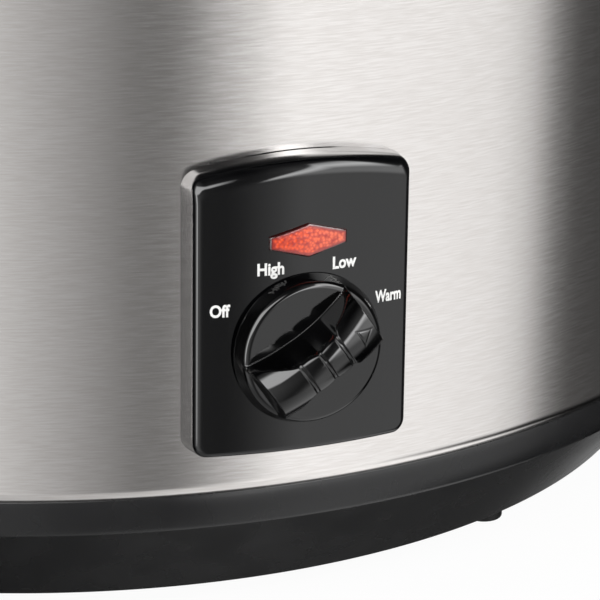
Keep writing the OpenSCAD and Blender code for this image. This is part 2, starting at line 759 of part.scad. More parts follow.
// A lug for lifting the hot crock: the part of a round shelf that reaches past the rim
module crock_lug() difference() {
    translate([lug_cx, 0, 0]) rotate_extrude() polygon([
        [0, crock_z + 0.4], [lug_r - 3, crock_z + 0.4], [lug_r - 0.8, crock_z + 1.6],
        [lug_r, crock_z + 3.4], [lug_r, crock_z + 4.6], [lug_r - 0.8, crock_z + 6.4],
        [lug_r - 3, crock_z + 7.4], [0, crock_z + 8]]);
    cylinder(r = end_r - crock_rim_in - 1.5, h = tall);
}

// ---- Lid ----

module lid_glass() color([0.75, 0.8, 0.82, 0.4]) placed() difference() {
    union() {
        oval_sweep() translate([-lid_edge_in - lid_run, lid_bow_z]) intersection() {
            difference() {
                circle(lid_bow_r + glass_t);
                circle(lid_bow_r);
            }
            square([lid_run, lid_bow_r + glass_t + 1]);
        }
        oval_disc(-lid_edge_in - lid_run, lid_top_z - glass_t, lid_top_z);
    }
    disc(lid_hole_r, lid_top_z - 10, lid_top_z + 1);
    translate([vent_x, 0, 0]) disc(vent_hole_r, lid_top_z - 10, lid_top_z + 1);
}

// Offset and height of a point beside the glass near its edge: in from the edge, off its surface
function lid_beside(inward, r) =
    [-lid_edge_in - inward, lid_bow_z + sqrt(pow(r, 2) - pow(lid_run - inward, 2))];

module lid_rim() color("#d2d2d1") placed() oval_sweep() polygon([
    [-lid_edge_in + 2, crock_ledge_z + move_gap], [-lid_edge_in + 2, lid_beside(0, lid_bow_r + glass_t + 0.7)[1] - 0.8],
    [-lid_edge_in + 1, lid_beside(0, lid_bow_r + glass_t + 0.7)[1]],
    lid_beside(4.5, lid_bow_r + glass_t + 0.7), lid_beside(4.5, lid_bow_r + glass_t + seat_gap),
    lid_beside(0, lid_bow_r + glass_t + seat_gap), [-lid_edge_in + 0.2, lid_beside(0, lid_bow_r + glass_t)[1]],
    [-lid_edge_in + 0.2, lid_edge_z - 0.1], lid_beside(0, lid_bow_r - seat_gap),
    lid_beside(4.5, lid_bow_r - seat_gap), lid_beside(4.5, lid_bow_r - 0.7),
    lid_beside(0, lid_bow_r - 0.8), [-lid_edge_in + 0.8, lid_edge_z - 1.2],
    [-lid_edge_in + 1.4, crock_ledge_z + move_gap]]);

module lid_ferrule() color("#d2d2d1") placed() ring(3, 17, lid_top_z + seat_gap, lid_top_z + 1.4);

module lid_knob() color("#141415") placed() translate([0, 0, lid_top_z + 1.5]) difference() {
    rotate_extrude() polygon(concat(
        [[0, 0], [13.5, 0], [14, 0.6]],
        arc_points([20, 9.5], 10, 220, 150, 8),
        arc_points([lid_knob_r - 3, lid_knob_h - 10], 3, -40, 40, 5),
        arc_points([0, lid_knob_h - 60], 60, 74, 90, 8)));
    disc(2.5, -1, 16);
}

module lid_screw() color("#c2c3c5") placed() {
    disc(2.3, lid_top_z - glass_t - 3, lid_top_z + 16);
    translate([0, 0, lid_top_z - glass_t - 5.4]) cylinder(r1 = 4, r2 = 5, h = 2.4);
}

module lid_washer() color("#2a2a2a") placed()
    ring(2.5, 9, lid_top_z - glass_t - 2.9, lid_top_z - glass_t - seat_gap);

module vent_grommet() color("#cfcfce") placed() translate([vent_x, 0, 0]) difference() {
    union() {
        disc(6, lid_top_z + seat_gap, lid_top_z + 1);
        disc(vent_hole_r - 0.15, lid_top_z - glass_t - 0.9, lid_top_z + 0.5);
        disc(5.4, lid_top_z - glass_t - 0.9, lid_top_z - glass_t - seat_gap);
    }
    disc(1.8, lid_top_z - 10, lid_top_z + 2);
}

base_tray();
bottom_plate();
plate_screws();
feet();
housing_wrap();
inner_pot();
heater_band();
heater_clips();
base_reflector();
tie_bolt();
tie_nuts();
thermal_fuse();
fuse_clip();
control_bezel();
bezel_screws();
pilot_lens();
neon_lamp();
lamp_holder();
rotary_switch();
switch_terminals();
switch_nut();
lead_wires();
cord_gland();
gland_nut();
handle_left();
handle_right();
handle_screws();
handle_washers();
switch_shaft();
control_knob();
knob_clip();
crock();
lid_glass();
lid_rim();
lid_knob();
lid_ferrule();
lid_screw();
lid_washer();
vent_grommet();
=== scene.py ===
from math import radians, sin, cos, pi, sqrt, atan2

import bpy
import bmesh
import numpy as np
from mathutils import Matrix, Vector


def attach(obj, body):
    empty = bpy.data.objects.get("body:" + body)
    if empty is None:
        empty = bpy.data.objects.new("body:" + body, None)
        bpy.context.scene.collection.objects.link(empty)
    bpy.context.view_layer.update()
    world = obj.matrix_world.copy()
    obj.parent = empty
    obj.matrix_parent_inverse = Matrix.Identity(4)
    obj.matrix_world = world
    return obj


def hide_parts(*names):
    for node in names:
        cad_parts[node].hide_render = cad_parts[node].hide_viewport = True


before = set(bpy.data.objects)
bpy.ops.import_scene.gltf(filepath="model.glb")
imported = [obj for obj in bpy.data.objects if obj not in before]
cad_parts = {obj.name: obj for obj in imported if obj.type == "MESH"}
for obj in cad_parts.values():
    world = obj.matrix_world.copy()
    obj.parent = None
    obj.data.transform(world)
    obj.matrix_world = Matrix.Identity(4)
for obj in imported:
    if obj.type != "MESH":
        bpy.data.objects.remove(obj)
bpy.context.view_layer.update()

# Lengths are in millimetres and heights above the table, unless a name or comment says otherwise.
# Shapes are drawn about the middle of the oval, CENTRE_Y behind the frame's origin.

# The oval: half its length and depth and its ends' radius, the middle of an end's arc, and the
# middle and radius of the long arcs that join the ends without a corner.
HALF_L, HALF_D, END_R = 190.0, 140.0, 100.0
END_CX = HALF_L - END_R
LONG_CY = (END_CX ** 2 - (HALF_D - END_R) ** 2) / (2 * (HALF_D - END_R))
LONG_R = HALF_D + LONG_CY
CENTRE_Y = 8.55
FRONT = -HALF_D

# The steel sheet: its top, its thickness, the radius of its bead and how far the bead turns in.
HOUSING_TOP, STEEL = 200.0, 0.6
BEAD_R, BEAD_IN = 5.0, 1.85

# The skirt: the heights of its foot, its ridge and its top, how far in from the steel its foot and
# its ridge lie, and how far the band over the ridge bulges.
FOOT_H, RIDGE_Z, BAND_TOP = 6.0, 34.1, 43.7
SKIRT_IN, RIDGE_IN, BULGE = 26.0, 1.8, 0.5

# The control panel: its width, foot, head and depth, the radii of its bow, its arched head and its
# corners, how far each side spreads towards the wall, and the rounds of its edges.
PANEL_W, PANEL_Z0, PANEL_Z1, PANEL_D = 61.6, 57.9, 139.9, 9.5
PANEL_BOW, PANEL_ARCH, PANEL_CORNER, PANEL_SPREAD = 135.0, 120.0, 4.0, 0.77
PANEL_EDGE, PANEL_TOP_EDGE = 2.0, 5.0

# The pilot light: its height, half its width and height, and half the height of its ends.
LENS_Z, LENS_W, LENS_H, LENS_END = 117.7, 11.0, 4.8, 1.8

# The knob: its axis's height, its gap to the panel, its radius, and its pointer's turn from level.
KNOB_Z, KNOB_GAP, KNOB_R, POINTER = 87.5, 0.3, 21.0, radians(34)

# The printed words: a capital's height in the font's units and on the panel, then each word's
# middle to the right of and above the knob's axis, and its width.
CAPITAL, LETTER_H = 0.70, 3.25
WORDS = (("Off", -24.0, 12.3, 5.4), ("High", -10.4, 23.1, 7.4),
         ("Low", 10.6, 22.9, 7.0), ("Warm", 24.1, 11.4, 8.1))

# The crock: the heights of its rim's underside, the ledge inside the rim and the rim's top, then
# the radius of its lugs and how far they reach past the steel.
CROCK_Z, LEDGE_Z, CROCK_TOP = 201.1, 207.1, 212.1
LUG_R, LUG_OUT = 55.0, 12.0

# The lid: how far in its glass starts, the run and rise of its dome, the thickness of the glass and
# of the ferrule under its grip, and the heights of its edge and its top.
LID_EDGE_IN, LID_RUN, LID_RISE, GLASS, FERRULE = 13.0, 77.0, 25.0, 4.0, 1.5
LID_EDGE_Z = 210.8
LID_TOP = LID_EDGE_Z + LID_RISE + GLASS

# The loop handles: the height of their middle, how far they reach out, and their section.
HANDLE_Z, HANDLE_OUT, HANDLE_T, HANDLE_H = 150.0, 38.0, 12.0, 20.0


# -------- camera

def place_camera():
    """A long lens left of the front and a little above, looking down on the control panel."""
    azimuth, elevation, roll = radians(-21.762), radians(19.181), radians(0.719)
    distance_mm, focal_px, picture_px, sensor_mm = 879.47, 3277.0, 600, 36
    target = np.array([1.701, CENTRE_Y - 139.728, 97.468])
    back = np.array([sin(azimuth) * cos(elevation), -cos(azimuth) * cos(elevation), sin(elevation)])
    right = np.array([cos(azimuth), sin(azimuth), 0.0])
    up = np.cross(back, right)
    right_rolled = right * cos(roll) + up * sin(roll)
    up_rolled = -right * sin(roll) + up * cos(roll)
    eye = (target + distance_mm * back) / 1000
    camera = bpy.data.objects.new("camera", bpy.data.cameras.new("camera"))
    camera.data.sensor_width = sensor_mm
    camera.data.lens = focal_px * sensor_mm / picture_px
    camera.data.clip_start, camera.data.clip_end = 0.05, 20
    turn = Matrix((right_rolled, up_rolled, back)).transposed().to_4x4()
    camera.matrix_world = Matrix.Translation(Vector(eye)) @ turn
    bpy.context.scene.collection.objects.link(camera)
    bpy.context.scene.camera = camera


place_camera()
bpy.context.scene.view_settings.view_transform = "Standard"


# -------- material nodes

def srgb(code):
    """A hex colour as drawn on screen, turned to linear light."""
    c = np.array([int(code[i:i + 2], 16) for i in (1, 3, 5)]) / 255
    c = np.where(c <= 0.04045, c / 12.92, ((c + 0.055) / 1.055) ** 2.4)
    return (float(c[0]), float(c[1]), float(c[2]), 1.0)


def add(tree, kind, settings=None, **links):
    """Adds a node of a kind. settings are its own properties, links its sockets' values or wires. A
    socket is named, or given by its place as i0, i1 and so on."""
    node = tree.nodes.new("ShaderNode" + kind)
    for key, value in (settings or {}).items():
        setattr(node, key, value)
    for key, value in links.items():
        by_place = key[0] == "i" and key[1:].isdigit()
        socket = node.inputs[int(key[1:]) if by_place else key.replace("_", " ")]
        if isinstance(value, bpy.types.NodeSocket):
            tree.links.new(value, socket)
        else:
            socket.default_value = value
    return node


def new_material(name):
    """An empty material and its node tree."""
    material = bpy.data.materials.new(name)
    material.use_nodes = True
    material.node_tree.nodes.clear()
    return material, material.node_tree


def finish_material(tree, shader):
    """Gives a material its surface."""
    tree.links.new(shader.outputs[0], add(tree, "OutputMaterial").inputs["Surface"])


def principled(material, **links):
    """Gives a material a principled surface."""
    tree = material.node_tree
    finish_material(tree, add(tree, "BsdfPrincipled", **links))
    return material


def grain(tree, size_mm, stretch=(1, 1, 1), detail=3.0, rough=0.55):
    """Noise on the piece's own coordinates, about size_mm across and drawn out by stretch."""
    place = add(tree, "TexCoord").outputs["Object"]
    scale = [1000.0 / (size_mm * s) for s in stretch]
    mapped = add(tree, "Mapping", Vector=place, Scale=scale).outputs["Vector"]
    noise = add(tree, "TexNoise", Vector=mapped, Scale=1.0, Detail=detail, Roughness=rough)
    return noise.outputs["Fac"]


def between(tree, fac, low, high, start=0.3, end=0.7):
    """Turns a reading between start and end into a number between low and high, held beyond."""
    return add(tree, "MapRange", Value=fac, From_Min=start, From_Max=end,
               To_Min=low, To_Max=high).outputs[0]


def blend_colours(tree, fac, low, high):
    """The colour low + fac x (high - low). Each is a value or a wire."""
    return add(tree, "Mix", {"data_type": "RGBA"}, i0=fac, i6=low, i7=high).outputs[2]


def bumped(tree, height, strength, depth):
    """Normals turned by a height, for a relief of some depth in metres."""
    return add(tree, "Bump", Height=height, Strength=strength, Distance=depth).outputs[0]


def brushed_steel(name, light, dark, low, high):
    """Rolled stainless sheet with a fine satin brushing along its length: short level strokes that
    spread a highlight up and down, over a faint clouding of the sheet. Real strokes are about 0.1
    mm apart; they are drawn at 0.42 mm, as coarse as they need to be to show."""
    stroke_mm, line_mm, cloud_mm = 7.0, 0.42, 45
    material, tree = new_material(name)
    long = stroke_mm / line_mm
    lines = grain(tree, line_mm, (long, long, 1), 3.0, 0.6)
    broad = grain(tree, cloud_mm, (1.5, 1.5, 0.5), 2.0, 0.5)
    colour = blend_colours(tree, between(tree, lines, 0, 1, 0.34, 0.66), srgb(dark), srgb(light))
    colour = blend_colours(tree, between(tree, broad, 0.0, 0.1), colour, srgb(dark))
    rough = between(tree, lines, low, high, 0.35, 0.65)
    tangent = add(tree, "Tangent", {"direction_type": "RADIAL", "axis": "Z"}).outputs[0]
    return principled(material, Base_Color=colour, Metallic=1.0, Roughness=rough,
                      Anisotropic=0.5, Anisotropic_Rotation=0.25, Tangent=tangent,
                      Normal=bumped(tree, lines, 0.3, 0.000004))


def moulded(name, colour, tint, rough, spread=0.06, texture_mm=0.6, depth=0.00002, ior=1.5):
    """A moulded plastic or rubber skin: an even colour with a slight clouding, the tool's fine
    texture and faint differences in gloss where it was polished by handling."""
    material, tree = new_material(name)
    cloud = grain(tree, 18, detail=2.0)
    fine = grain(tree, texture_mm, detail=4.0, rough=0.6)
    base = blend_colours(tree, between(tree, cloud, 0, 1), srgb(colour), srgb(tint))
    rubbed = between(tree, cloud, rough - spread / 2, rough + spread / 2)
    return principled(material, Base_Color=base, Roughness=rubbed, IOR=ior,
                      Normal=bumped(tree, fine, 0.3, depth))


def plated(name, light, dark, rough, patch_mm):
    """Zinc plate or bare sheet: small crystals of slightly different brightness and gloss."""
    material, tree = new_material(name)
    place = add(tree, "TexCoord").outputs["Object"]
    cells = add(tree, "TexVoronoi", Vector=place, Scale=1000.0 / patch_mm).outputs["Color"]
    tone = add(tree, "RGBToBW", Color=cells).outputs[0]
    colour = blend_colours(tree, tone, srgb(light), srgb(dark))
    gloss = between(tree, tone, rough - 0.06, rough + 0.08, 0, 1)
    return principled(material, Base_Color=colour, Metallic=1.0, Roughness=gloss,
                      Normal=bumped(tree, grain(tree, 0.5), 0.3, 0.00002))


def pilot_polycarbonate():
    """Red polycarbonate with a pebbled back, so the light in it breaks into small bright orange
    dots with dark red between them. Its edge is painted dark, as painted shade on its bevel, and
    its right side is painted lighter and pinker, as a painted sheen of the light at the right."""
    pebble_mm = 0.9
    material, tree = new_material("pilot_polycarbonate")
    place = add(tree, "TexCoord").outputs["Object"]
    pebbles = add(tree, "TexVoronoi", {"feature": "SMOOTH_F1"}, Vector=place,
                  Scale=1000.0 / pebble_mm, Smoothness=0.6).outputs["Distance"]
    # Painted sheen: the body is lighter and pinker towards the right, where the right light falls.
    across = add(tree, "SeparateXYZ", Vector=place).outputs["X"]
    side = between(tree, across, 0, 1, -0.004, 0.010)
    body = blend_colours(tree, side, srgb("#F5500F"), srgb("#F2704A"))
    body = blend_colours(tree, between(tree, pebbles, 0, 1, 0.2, 0.75), body, srgb("#A81C06"))
    # Painted shade: dark red, then near black, towards the hexagon's edge, for the shade on the
    # bevel.
    rim = add(tree, "Attribute", {"attribute_name": "from_edge_mm"}).outputs["Fac"]
    body = blend_colours(tree, between(tree, rim, 1, 0, 0.75, 1.5), body, srgb("#8E2018"))
    body = blend_colours(tree, between(tree, rim, 1, 0, 0.35, 0.7), body, srgb("#2E0605"))
    return principled(material, Base_Color=body, Roughness=0.18, IOR=1.58,
                      Coat_Weight=0.5, Coat_Roughness=0.05,
                      Normal=bumped(tree, pebbles, 0.35, 0.0002))


def toughened_glass():
    """Clear soda-lime glass with a trace of green and a few faint waves from the press."""
    material, tree = new_material("toughened_glass")
    wave = grain(tree, 30, detail=1.0)
    rough = between(tree, grain(tree, 12), 0.0, 0.03)
    shader = add(tree, "BsdfPrincipled", Base_Color=srgb("#F2F8F5"), Roughness=rough, IOR=1.5,
                 Transmission_Weight=1.0, Normal=bumped(tree, wave, 0.2, 0.0002))
    clear = add(tree, "BsdfTransparent", Color=srgb("#EAF3EF"))
    path = add(tree, "LightPath").outputs["Is Shadow Ray"]
    finish_material(tree, add(tree, "MixShader", i0=path, i1=shader.outputs[0],
                              i2=clear.outputs[0]))
    return material


def black_glaze():
    """Glossy black stoneware glaze: deep colour, small pits and a slow waviness from the kiln."""
    material, tree = new_material("black_stoneware_glaze")
    flow = grain(tree, 22, detail=2.0)
    pits = grain(tree, 1.2, detail=2.0)
    height = add(tree, "Math", {"operation": "MULTIPLY_ADD"}, i0=flow, i1=4.0, i2=pits).outputs[0]
    colour = blend_colours(tree, between(tree, flow, 0, 1), srgb("#151413"), srgb("#24201D"))
    rough = between(tree, pits, 0.08, 0.16)
    return principled(material, Base_Color=colour, Roughness=rough, IOR=1.55,
                      Coat_Weight=0.5, Coat_Roughness=0.04,
                      Normal=bumped(tree, height, 0.25, 0.00006))


# For each finish: the skin's colour, the colour of its clouding or crystals, and its roughness.
housing_steel = brushed_steel("brushed_stainless_304", "#D9D6D4", "#CFCBC8", low=0.13, high=0.17)
rim_steel = brushed_steel("polished_stainless_rim", "#DAD9D6", "#CFCDCA", low=0.12, high=0.16)
skirt_plastic = moulded("polypropylene_skirt", "#131314", "#171718", 0.27, texture_mm=0.5, ior=1.41)
panel_plastic = moulded("gloss_abs_panel", "#040405", "#060607", 0.06, 0.03, 0.9, 0.000002)
knob_plastic = moulded("gloss_abs_knob", "#020202", "#030304", 0.07, 0.03, 0.8, 0.000002)
handle_plastic = moulded("phenolic_handles", "#161617", "#1C1C1D", 0.32, texture_mm=0.7,
                         depth=0.00004)
# Black rubber, its colour painted darker still as painted shade for the shade under the skirt.
foot_rubber = moulded("natural_rubber_feet", "#080808", "#0C0C0C", 0.55, texture_mm=0.4,
                      depth=0.00006, ior=1.33)
gland_rubber = moulded("pvc_gland", "#141414", "#1A1A1A", 0.5, depth=0.00004)
cream_plastic = moulded("cream_nylon", "#DAD5C4", "#CFC9B6", 0.45)
switch_plastic = moulded("phenolic_switch", "#CFCAB6", "#C2BCA6", 0.5)
black_nylon = moulded("black_nylon", "#161616", "#1D1D1D", 0.42)
lead_silicone = moulded("silicone_sleeving", "#82372B", "#733024", 0.5, texture_mm=1.0)
ceramic = moulded("fuse_ceramic", "#DDD9CF", "#D0CBBF", 0.55, texture_mm=0.4)
white_ink = moulded("pad_printed_ink", "#F1F1EF", "#E6E6E4", 0.4, texture_mm=0.3, depth=0.00001)
zinc = plated("zinc_plate", "#C9CACC", "#ADAEB1", 0.28, 1.2)
galvanised = plated("galvanised_sheet", "#B9BBBD", "#8F9193", 0.36, 7.0)
aluminium = plated("spun_aluminium", "#CFD0D1", "#B6B7B9", 0.34, 2.0)
spring_steel = plated("spring_steel", "#A9AAAC", "#8E8F92", 0.3, 1.5)
mica = plated("mica_and_foil", "#A59C84", "#7F7660", 0.5, 5.0)
brass = plated("terminal_brass", "#D9B25E", "#B8923F", 0.25, 1.5)
lens_red = pilot_polycarbonate()
glass = toughened_glass()
glaze = black_glaze()

NODE_FINISHES = (
    (skirt_plastic, "base_tray"), (galvanised, "bottom_plate"), (foot_rubber, "feet"),
    (zinc, "plate_screws tie_bolt tie_nuts bezel_screws switch_nut handle_screws handle_washers"),
    (zinc, "lid_screw"), (housing_steel, "housing_wrap"), (aluminium, "inner_pot base_reflector"),
    (mica, "heater_band"), (spring_steel, "heater_clips fuse_clip switch_shaft knob_clip"),
    (ceramic, "thermal_fuse"), (panel_plastic, "control_bezel"), (lens_red, "pilot_lens"),
    (glass, "neon_lamp lid_glass"), (cream_plastic, "lamp_holder"),
    (switch_plastic, "rotary_switch"), (brass, "switch_terminals"), (lead_silicone, "lead_wires"),
    (gland_rubber, "cord_gland lid_washer"), (black_nylon, "gland_nut"), (glaze, "crock"),
    (handle_plastic, "handle_left handle_right lid_knob"), (knob_plastic, "control_knob"),
    (rim_steel, "lid_rim lid_ferrule vent_grommet"))
for finish, node_names in NODE_FINISHES:
    for node_name in node_names.split():
        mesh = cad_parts[node_name].data
        mesh.materials.clear()
        mesh.materials.append(finish)


# -------- surfaces

def surface(name, grid, finish, ring=True, loop=False):
    """A mesh from a grid of points about the oval's centre. ring joins the last row to the first,
    loop the last column to the first."""
    rows, cols = grid.shape[:2]
    points = grid.reshape(-1, 3) + np.array([0, CENTRE_Y, 0])
    i = np.arange(rows if ring else rows - 1)[:, None]
    j = np.arange(cols if loop else cols - 1)[None, :]
    i2, j2 = (i + 1) % rows, (j + 1) % cols
    quads = np.stack([i * cols + j, i2 * cols + j, i2 * cols + j2, i * cols + j2], -1)
    return skin(name, points, quads.reshape(-1, 4), finish)


def skin(name, points, quads, finish):
    """A smooth mesh from points and four-cornered faces. Doubled points at poles are merged, and a
    closed skin is turned to face outwards by the sign of its volume."""
    a, b, c, d = (points[quads[:, k]] for k in range(4))
    volume = np.einsum("ij,ij->", a, np.cross(b, c)) + np.einsum("ij,ij->", a, np.cross(c, d))
    if volume < 0:
        quads = quads[:, ::-1]
    mesh = bpy.data.meshes.new(name)
    mesh.from_pydata((points / 1000).tolist(), [], quads.tolist())
    work = bmesh.new()
    work.from_mesh(mesh)
    bmesh.ops.remove_doubles(work, verts=work.verts, dist=1e-6)
    bmesh.ops.dissolve_degenerate(work, edges=work.edges, dist=1e-7)
    work.to_mesh(mesh)
    work.free()
    mesh.validate()
    mesh.polygons.foreach_set("use_smooth", np.ones(len(mesh.polygons), bool))
    mesh.materials.append(finish)
    return placed(name, mesh)


def placed(name, mesh):
    """An object with a mesh, in the scene."""
    piece = bpy.data.objects.new(name, mesh)
    bpy.context.scene.collection.objects.link(piece)
    return piece


def points_of(mesh):
    """A mesh's points as an array, in its own units."""
    flat = np.empty(len(mesh.vertices) * 3)
    mesh.vertices.foreach_get("co", flat)
    return flat.reshape(-1, 3)


def split_sharp(piece, degrees):
    """Marks edges that turn by more than an angle, so flat sides stay flat beside them."""
    piece.data.set_sharp_from_angle(angle=radians(degrees))


def rounded(corners, steps=6, closed=True):
    """A profile through corners given as (across, up, radius). Each corner with a radius becomes an
    arc tangent to its two sides, with a point held a little way along each side to keep it flat."""
    p = np.array([c[:2] for c in corners], float)
    out = []
    n = len(p)
    for k in range(n):
        radius = corners[k][2]
        if radius == 0 or (not closed and k in (0, n - 1)):
            out.append(p[k][None])
            continue
        a, b = p[k - 1] - p[k], p[(k + 1) % n] - p[k]
        la, lb = np.hypot(*a), np.hypot(*b)
        a, b = a / la, b / lb
        half = np.arccos(np.clip(a @ b, -1, 1)) / 2
        cut = min(radius / np.tan(half), 0.45 * la, 0.45 * lb)
        radius = cut * np.tan(half)
        middle = p[k] + (a + b) / np.hypot(*(a + b)) * radius / np.sin(half)
        start, end = p[k] + a * cut - middle, p[k] + b * cut - middle
        angle = np.arctan2(start[0] * end[1] - start[1] * end[0], start @ end)
        t = np.linspace(0, angle, steps + 1)[:, None]
        turn = np.stack([-start[1], start[0]])[None]
        bend = middle + np.cos(t) * start[None] + np.sin(t) * turn
        hold = cut + min(0.35, 0.3 * cut + 0.02)
        out += [(p[k] + a * hold)[None], bend, (p[k] + b * hold)[None]]
    return np.vstack(out)


def oval_frame(n_long, n_end):
    """The four arcs of the oval as arrays: each sample's arc centre, arc radius and direction,
    evenly turned along each arc, so that any offset d is centre + (radius + d) * direction."""
    join = atan2(LONG_CY, END_CX)
    arcs = [((END_CX, 0), END_R, -join, join, n_end),
            ((0, -LONG_CY), LONG_R, join, pi - join, n_long),
            ((-END_CX, 0), END_R, pi - join, pi + join, n_end),
            ((0, LONG_CY), LONG_R, pi + join, 2 * pi - join, n_long)]
    samples = [(c, r, a0 + (a1 - a0) * k / n) for c, r, a0, a1, n in arcs for k in range(n)]
    centre, radius, angle = (np.array(column) for column in zip(*samples))
    return centre, radius, np.stack([np.cos(angle), np.sin(angle)], -1)


def swept_round_oval(profile, n_long=150, n_end=90):
    """Carries a profile (offset outwards, height) round the oval."""
    centre, radius, way = oval_frame(n_long, n_end)
    d, z = profile[:, 0], profile[:, 1]
    xy = centre[:, None] + (radius[:, None] + d[None])[..., None] * way[:, None]
    return np.concatenate([xy, np.broadcast_to(z[None, :, None], xy.shape[:2] + (1,))], -1)


def middle_of(grid, z):
    """One point over the oval's middle for each row of a grid, to close it there."""
    return np.tile([0.0, 0.0, z], (len(grid), 1, 1))


def revolved(profile, centre=(0, 0), n=96):
    """Carries a profile (radius, height) round an upright axis."""
    t = 2 * pi * np.arange(n) / n
    r, z = profile[:, 0], profile[:, 1]
    x = centre[0] + np.outer(np.cos(t), r)
    y = centre[1] + np.outer(np.sin(t), r)
    return np.stack([x, y, np.broadcast_to(z, x.shape)], -1)


def arc(cx, cz, r, a0, a1, n):
    """Points of a circular arc in n steps, angles in degrees."""
    t = np.radians(np.linspace(a0, a1, n + 1))
    return np.stack([cx + r * np.cos(t), cz + r * np.sin(t)], -1)


# -------- housing and base

def build_housing():
    """The steel sheet: a rolled bead, a tall flat wall and the flange turned in at the top. The
    bead is an arc of BEAD_R from the wall down to where it lies BEAD_IN further in."""
    fold, flange = 0.9, 4.0
    angle = np.degrees(np.arccos((BEAD_R - BEAD_IN) / BEAD_R))
    bead_z = BAND_TOP + BEAD_R * sin(radians(angle))
    wall = np.stack([np.zeros(12), np.linspace(bead_z + 8, HOUSING_TOP - 2, 12)], -1)
    outside = np.vstack([arc(-BEAD_R, bead_z, BEAD_R, -angle, 0, 14), [[0, bead_z + 0.3]],
                         wall, arc(-fold, HOUSING_TOP - fold, fold, 0, 90, 5),
                         [[-flange, HOUSING_TOP]]])
    inside = np.vstack([[[-flange, HOUSING_TOP - STEEL], [-STEEL - 0.5, HOUSING_TOP - STEEL],
                         [-STEEL, HOUSING_TOP - 1.5], [-STEEL, bead_z + 0.3]],
                        arc(-BEAD_R, bead_z, BEAD_R - STEEL, 0, -angle, 10)])
    piece = surface("housing_sheet", swept_round_oval(np.vstack([outside, inside]), 220, 110),
                    housing_steel, loop=True)
    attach(piece, "cooker")
    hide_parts("housing_wrap")


def build_skirt():
    """The moulded skirt: a flat ring, a sloping lower band, a bowed upper band and the inner lip.
    The upper band is an arc of radius (half squared + BULGE squared) / (2 BULGE), half being half
    its height."""
    thick, ring_in, ledge_in, ledge_low, ledge_top = 2.5, 44.0, 51.0, 7.2, 9.0
    lip_out, lip_in, lip_top = -3.1, -5.6, 53.9
    half = (BAND_TOP - RIDGE_Z) / 2
    bulge_r = (half ** 2 + BULGE ** 2) / (2 * BULGE)
    a = np.degrees(np.arcsin(half / bulge_r))
    rise, run = RIDGE_Z - FOOT_H, SKIRT_IN - RIDGE_IN
    slope, length = rise / run, sqrt(rise ** 2 + run ** 2)
    foot_x = -SKIRT_IN - thick * rise / length
    foot_z = FOOT_H + thick * run / length
    foot = rounded([(-ring_in, FOOT_H, 0), (-SKIRT_IN, FOOT_H, 0.8), (-RIDGE_IN, RIDGE_Z, 0)],
                   closed=False)[:-1]
    out = np.linspace(-20, -RIDGE_IN - 0.5, 8)
    lower = np.stack([out, FOOT_H + (out + SKIRT_IN) * slope], -1)
    band = arc(-RIDGE_IN - bulge_r + BULGE, RIDGE_Z + half, bulge_r, -a, a, 12)
    round_top = [[-RIDGE_IN + 0.04, BAND_TOP - 0.35], [-RIDGE_IN + 0.01, BAND_TOP - 0.1]]
    lip = [(lip_out, BAND_TOP), (lip_out, BAND_TOP + 0.2), (lip_out, lip_top), (lip_in, lip_top),
           (lip_in, foot_z + (lip_in - foot_x) * slope),
           (foot_x + (ledge_top - foot_z) / slope, ledge_top), (-ledge_in, ledge_top),
           (-ledge_in, ledge_low), (-ring_in, ledge_low)]
    profile = np.vstack([foot, lower, band[:-1], round_top, band[-1:] + [-0.08, 0], lip])
    piece = surface("skirt_moulding", swept_round_oval(profile, 220, 110), skirt_plastic, loop=True)
    split_sharp(piece, 40)
    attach(piece, "cooker")
    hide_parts("base_tray")


def build_feet():
    """Push-in rubber feet: a short drum with a rounded foot and a slight waist."""
    foot_in, along = 37.0, 85.0
    y = sqrt((LONG_R - foot_in) ** 2 - along ** 2) - LONG_CY
    profile = np.vstack([[[0, 0], [4.2, 0]], arc(4.9, 0.9, 0.9, -90, 0, 5),
                         [[5.75, 2.5], [5.8, 5.0]], arc(5.4, 5.5, 0.4, 0, 90, 4), [[0, 5.95]]])
    for k, (sx, sy) in enumerate([(-1, -1), (1, -1), (1, 1), (-1, 1)]):
        grid = revolved(profile, (sx * along, sy * y), 64)
        piece = surface("foot_%d" % (k + 1), grid, foot_rubber)
        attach(piece, "cooker")
        if k == 0:
            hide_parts("feet")


build_housing()
build_skirt()
build_feet()


# -------- control panel

def panel_outline(inset, top_inset):
    """The panel's outline seen from the front, inset by one distance at its sides and foot and by
    another at its head: straight sides, a flat foot, an arched head and four rounded corners. Every
    inset has as many points. Also how far each point belongs to the head, from 0 to 1."""
    n_head, n_side, n_corner, least_corner = 64, 33, 10, 0.6
    w = PANEL_W / 2 - inset
    r = max(PANEL_CORNER - inset, least_corner)
    z0 = PANEL_Z0 + inset
    cz = PANEL_Z1 - PANEL_ARCH
    arch = PANEL_ARCH - top_inset
    corner_z = cz + sqrt((arch - r) ** 2 - (w - r) ** 2)
    turn = np.degrees(atan2(corner_z - cz, w - r))
    side = np.linspace(0, 1, n_side)[1:-1, None]
    parts = [(arc(w - r, z0 + r, r, -90, 0, n_corner), 0, 0),
             (np.hstack([np.full_like(side, w), z0 + r + side * (corner_z - z0 - r)]), 0, 0),
             (arc(w - r, corner_z, r, 0, turn, n_corner), 0, 1),
             (arc(0, cz, arch, turn, 180 - turn, n_head)[1:-1], 1, 1),
             (arc(r - w, corner_z, r, 180 - turn, 180, n_corner), 1, 0),
             (np.hstack([np.full_like(side, -w), corner_z - side * (corner_z - z0 - r)]), 0, 0),
             (arc(r - w, z0 + r, r, 180, 270, n_corner), 0, 0),
             (np.hstack([r - w + side * 2 * (w - r), np.full_like(side, z0)]), 0, 0)]
    head = np.concatenate([np.linspace(a, b, len(p)) for p, a, b in parts])
    return np.vstack([p for p, a, b in parts]), head


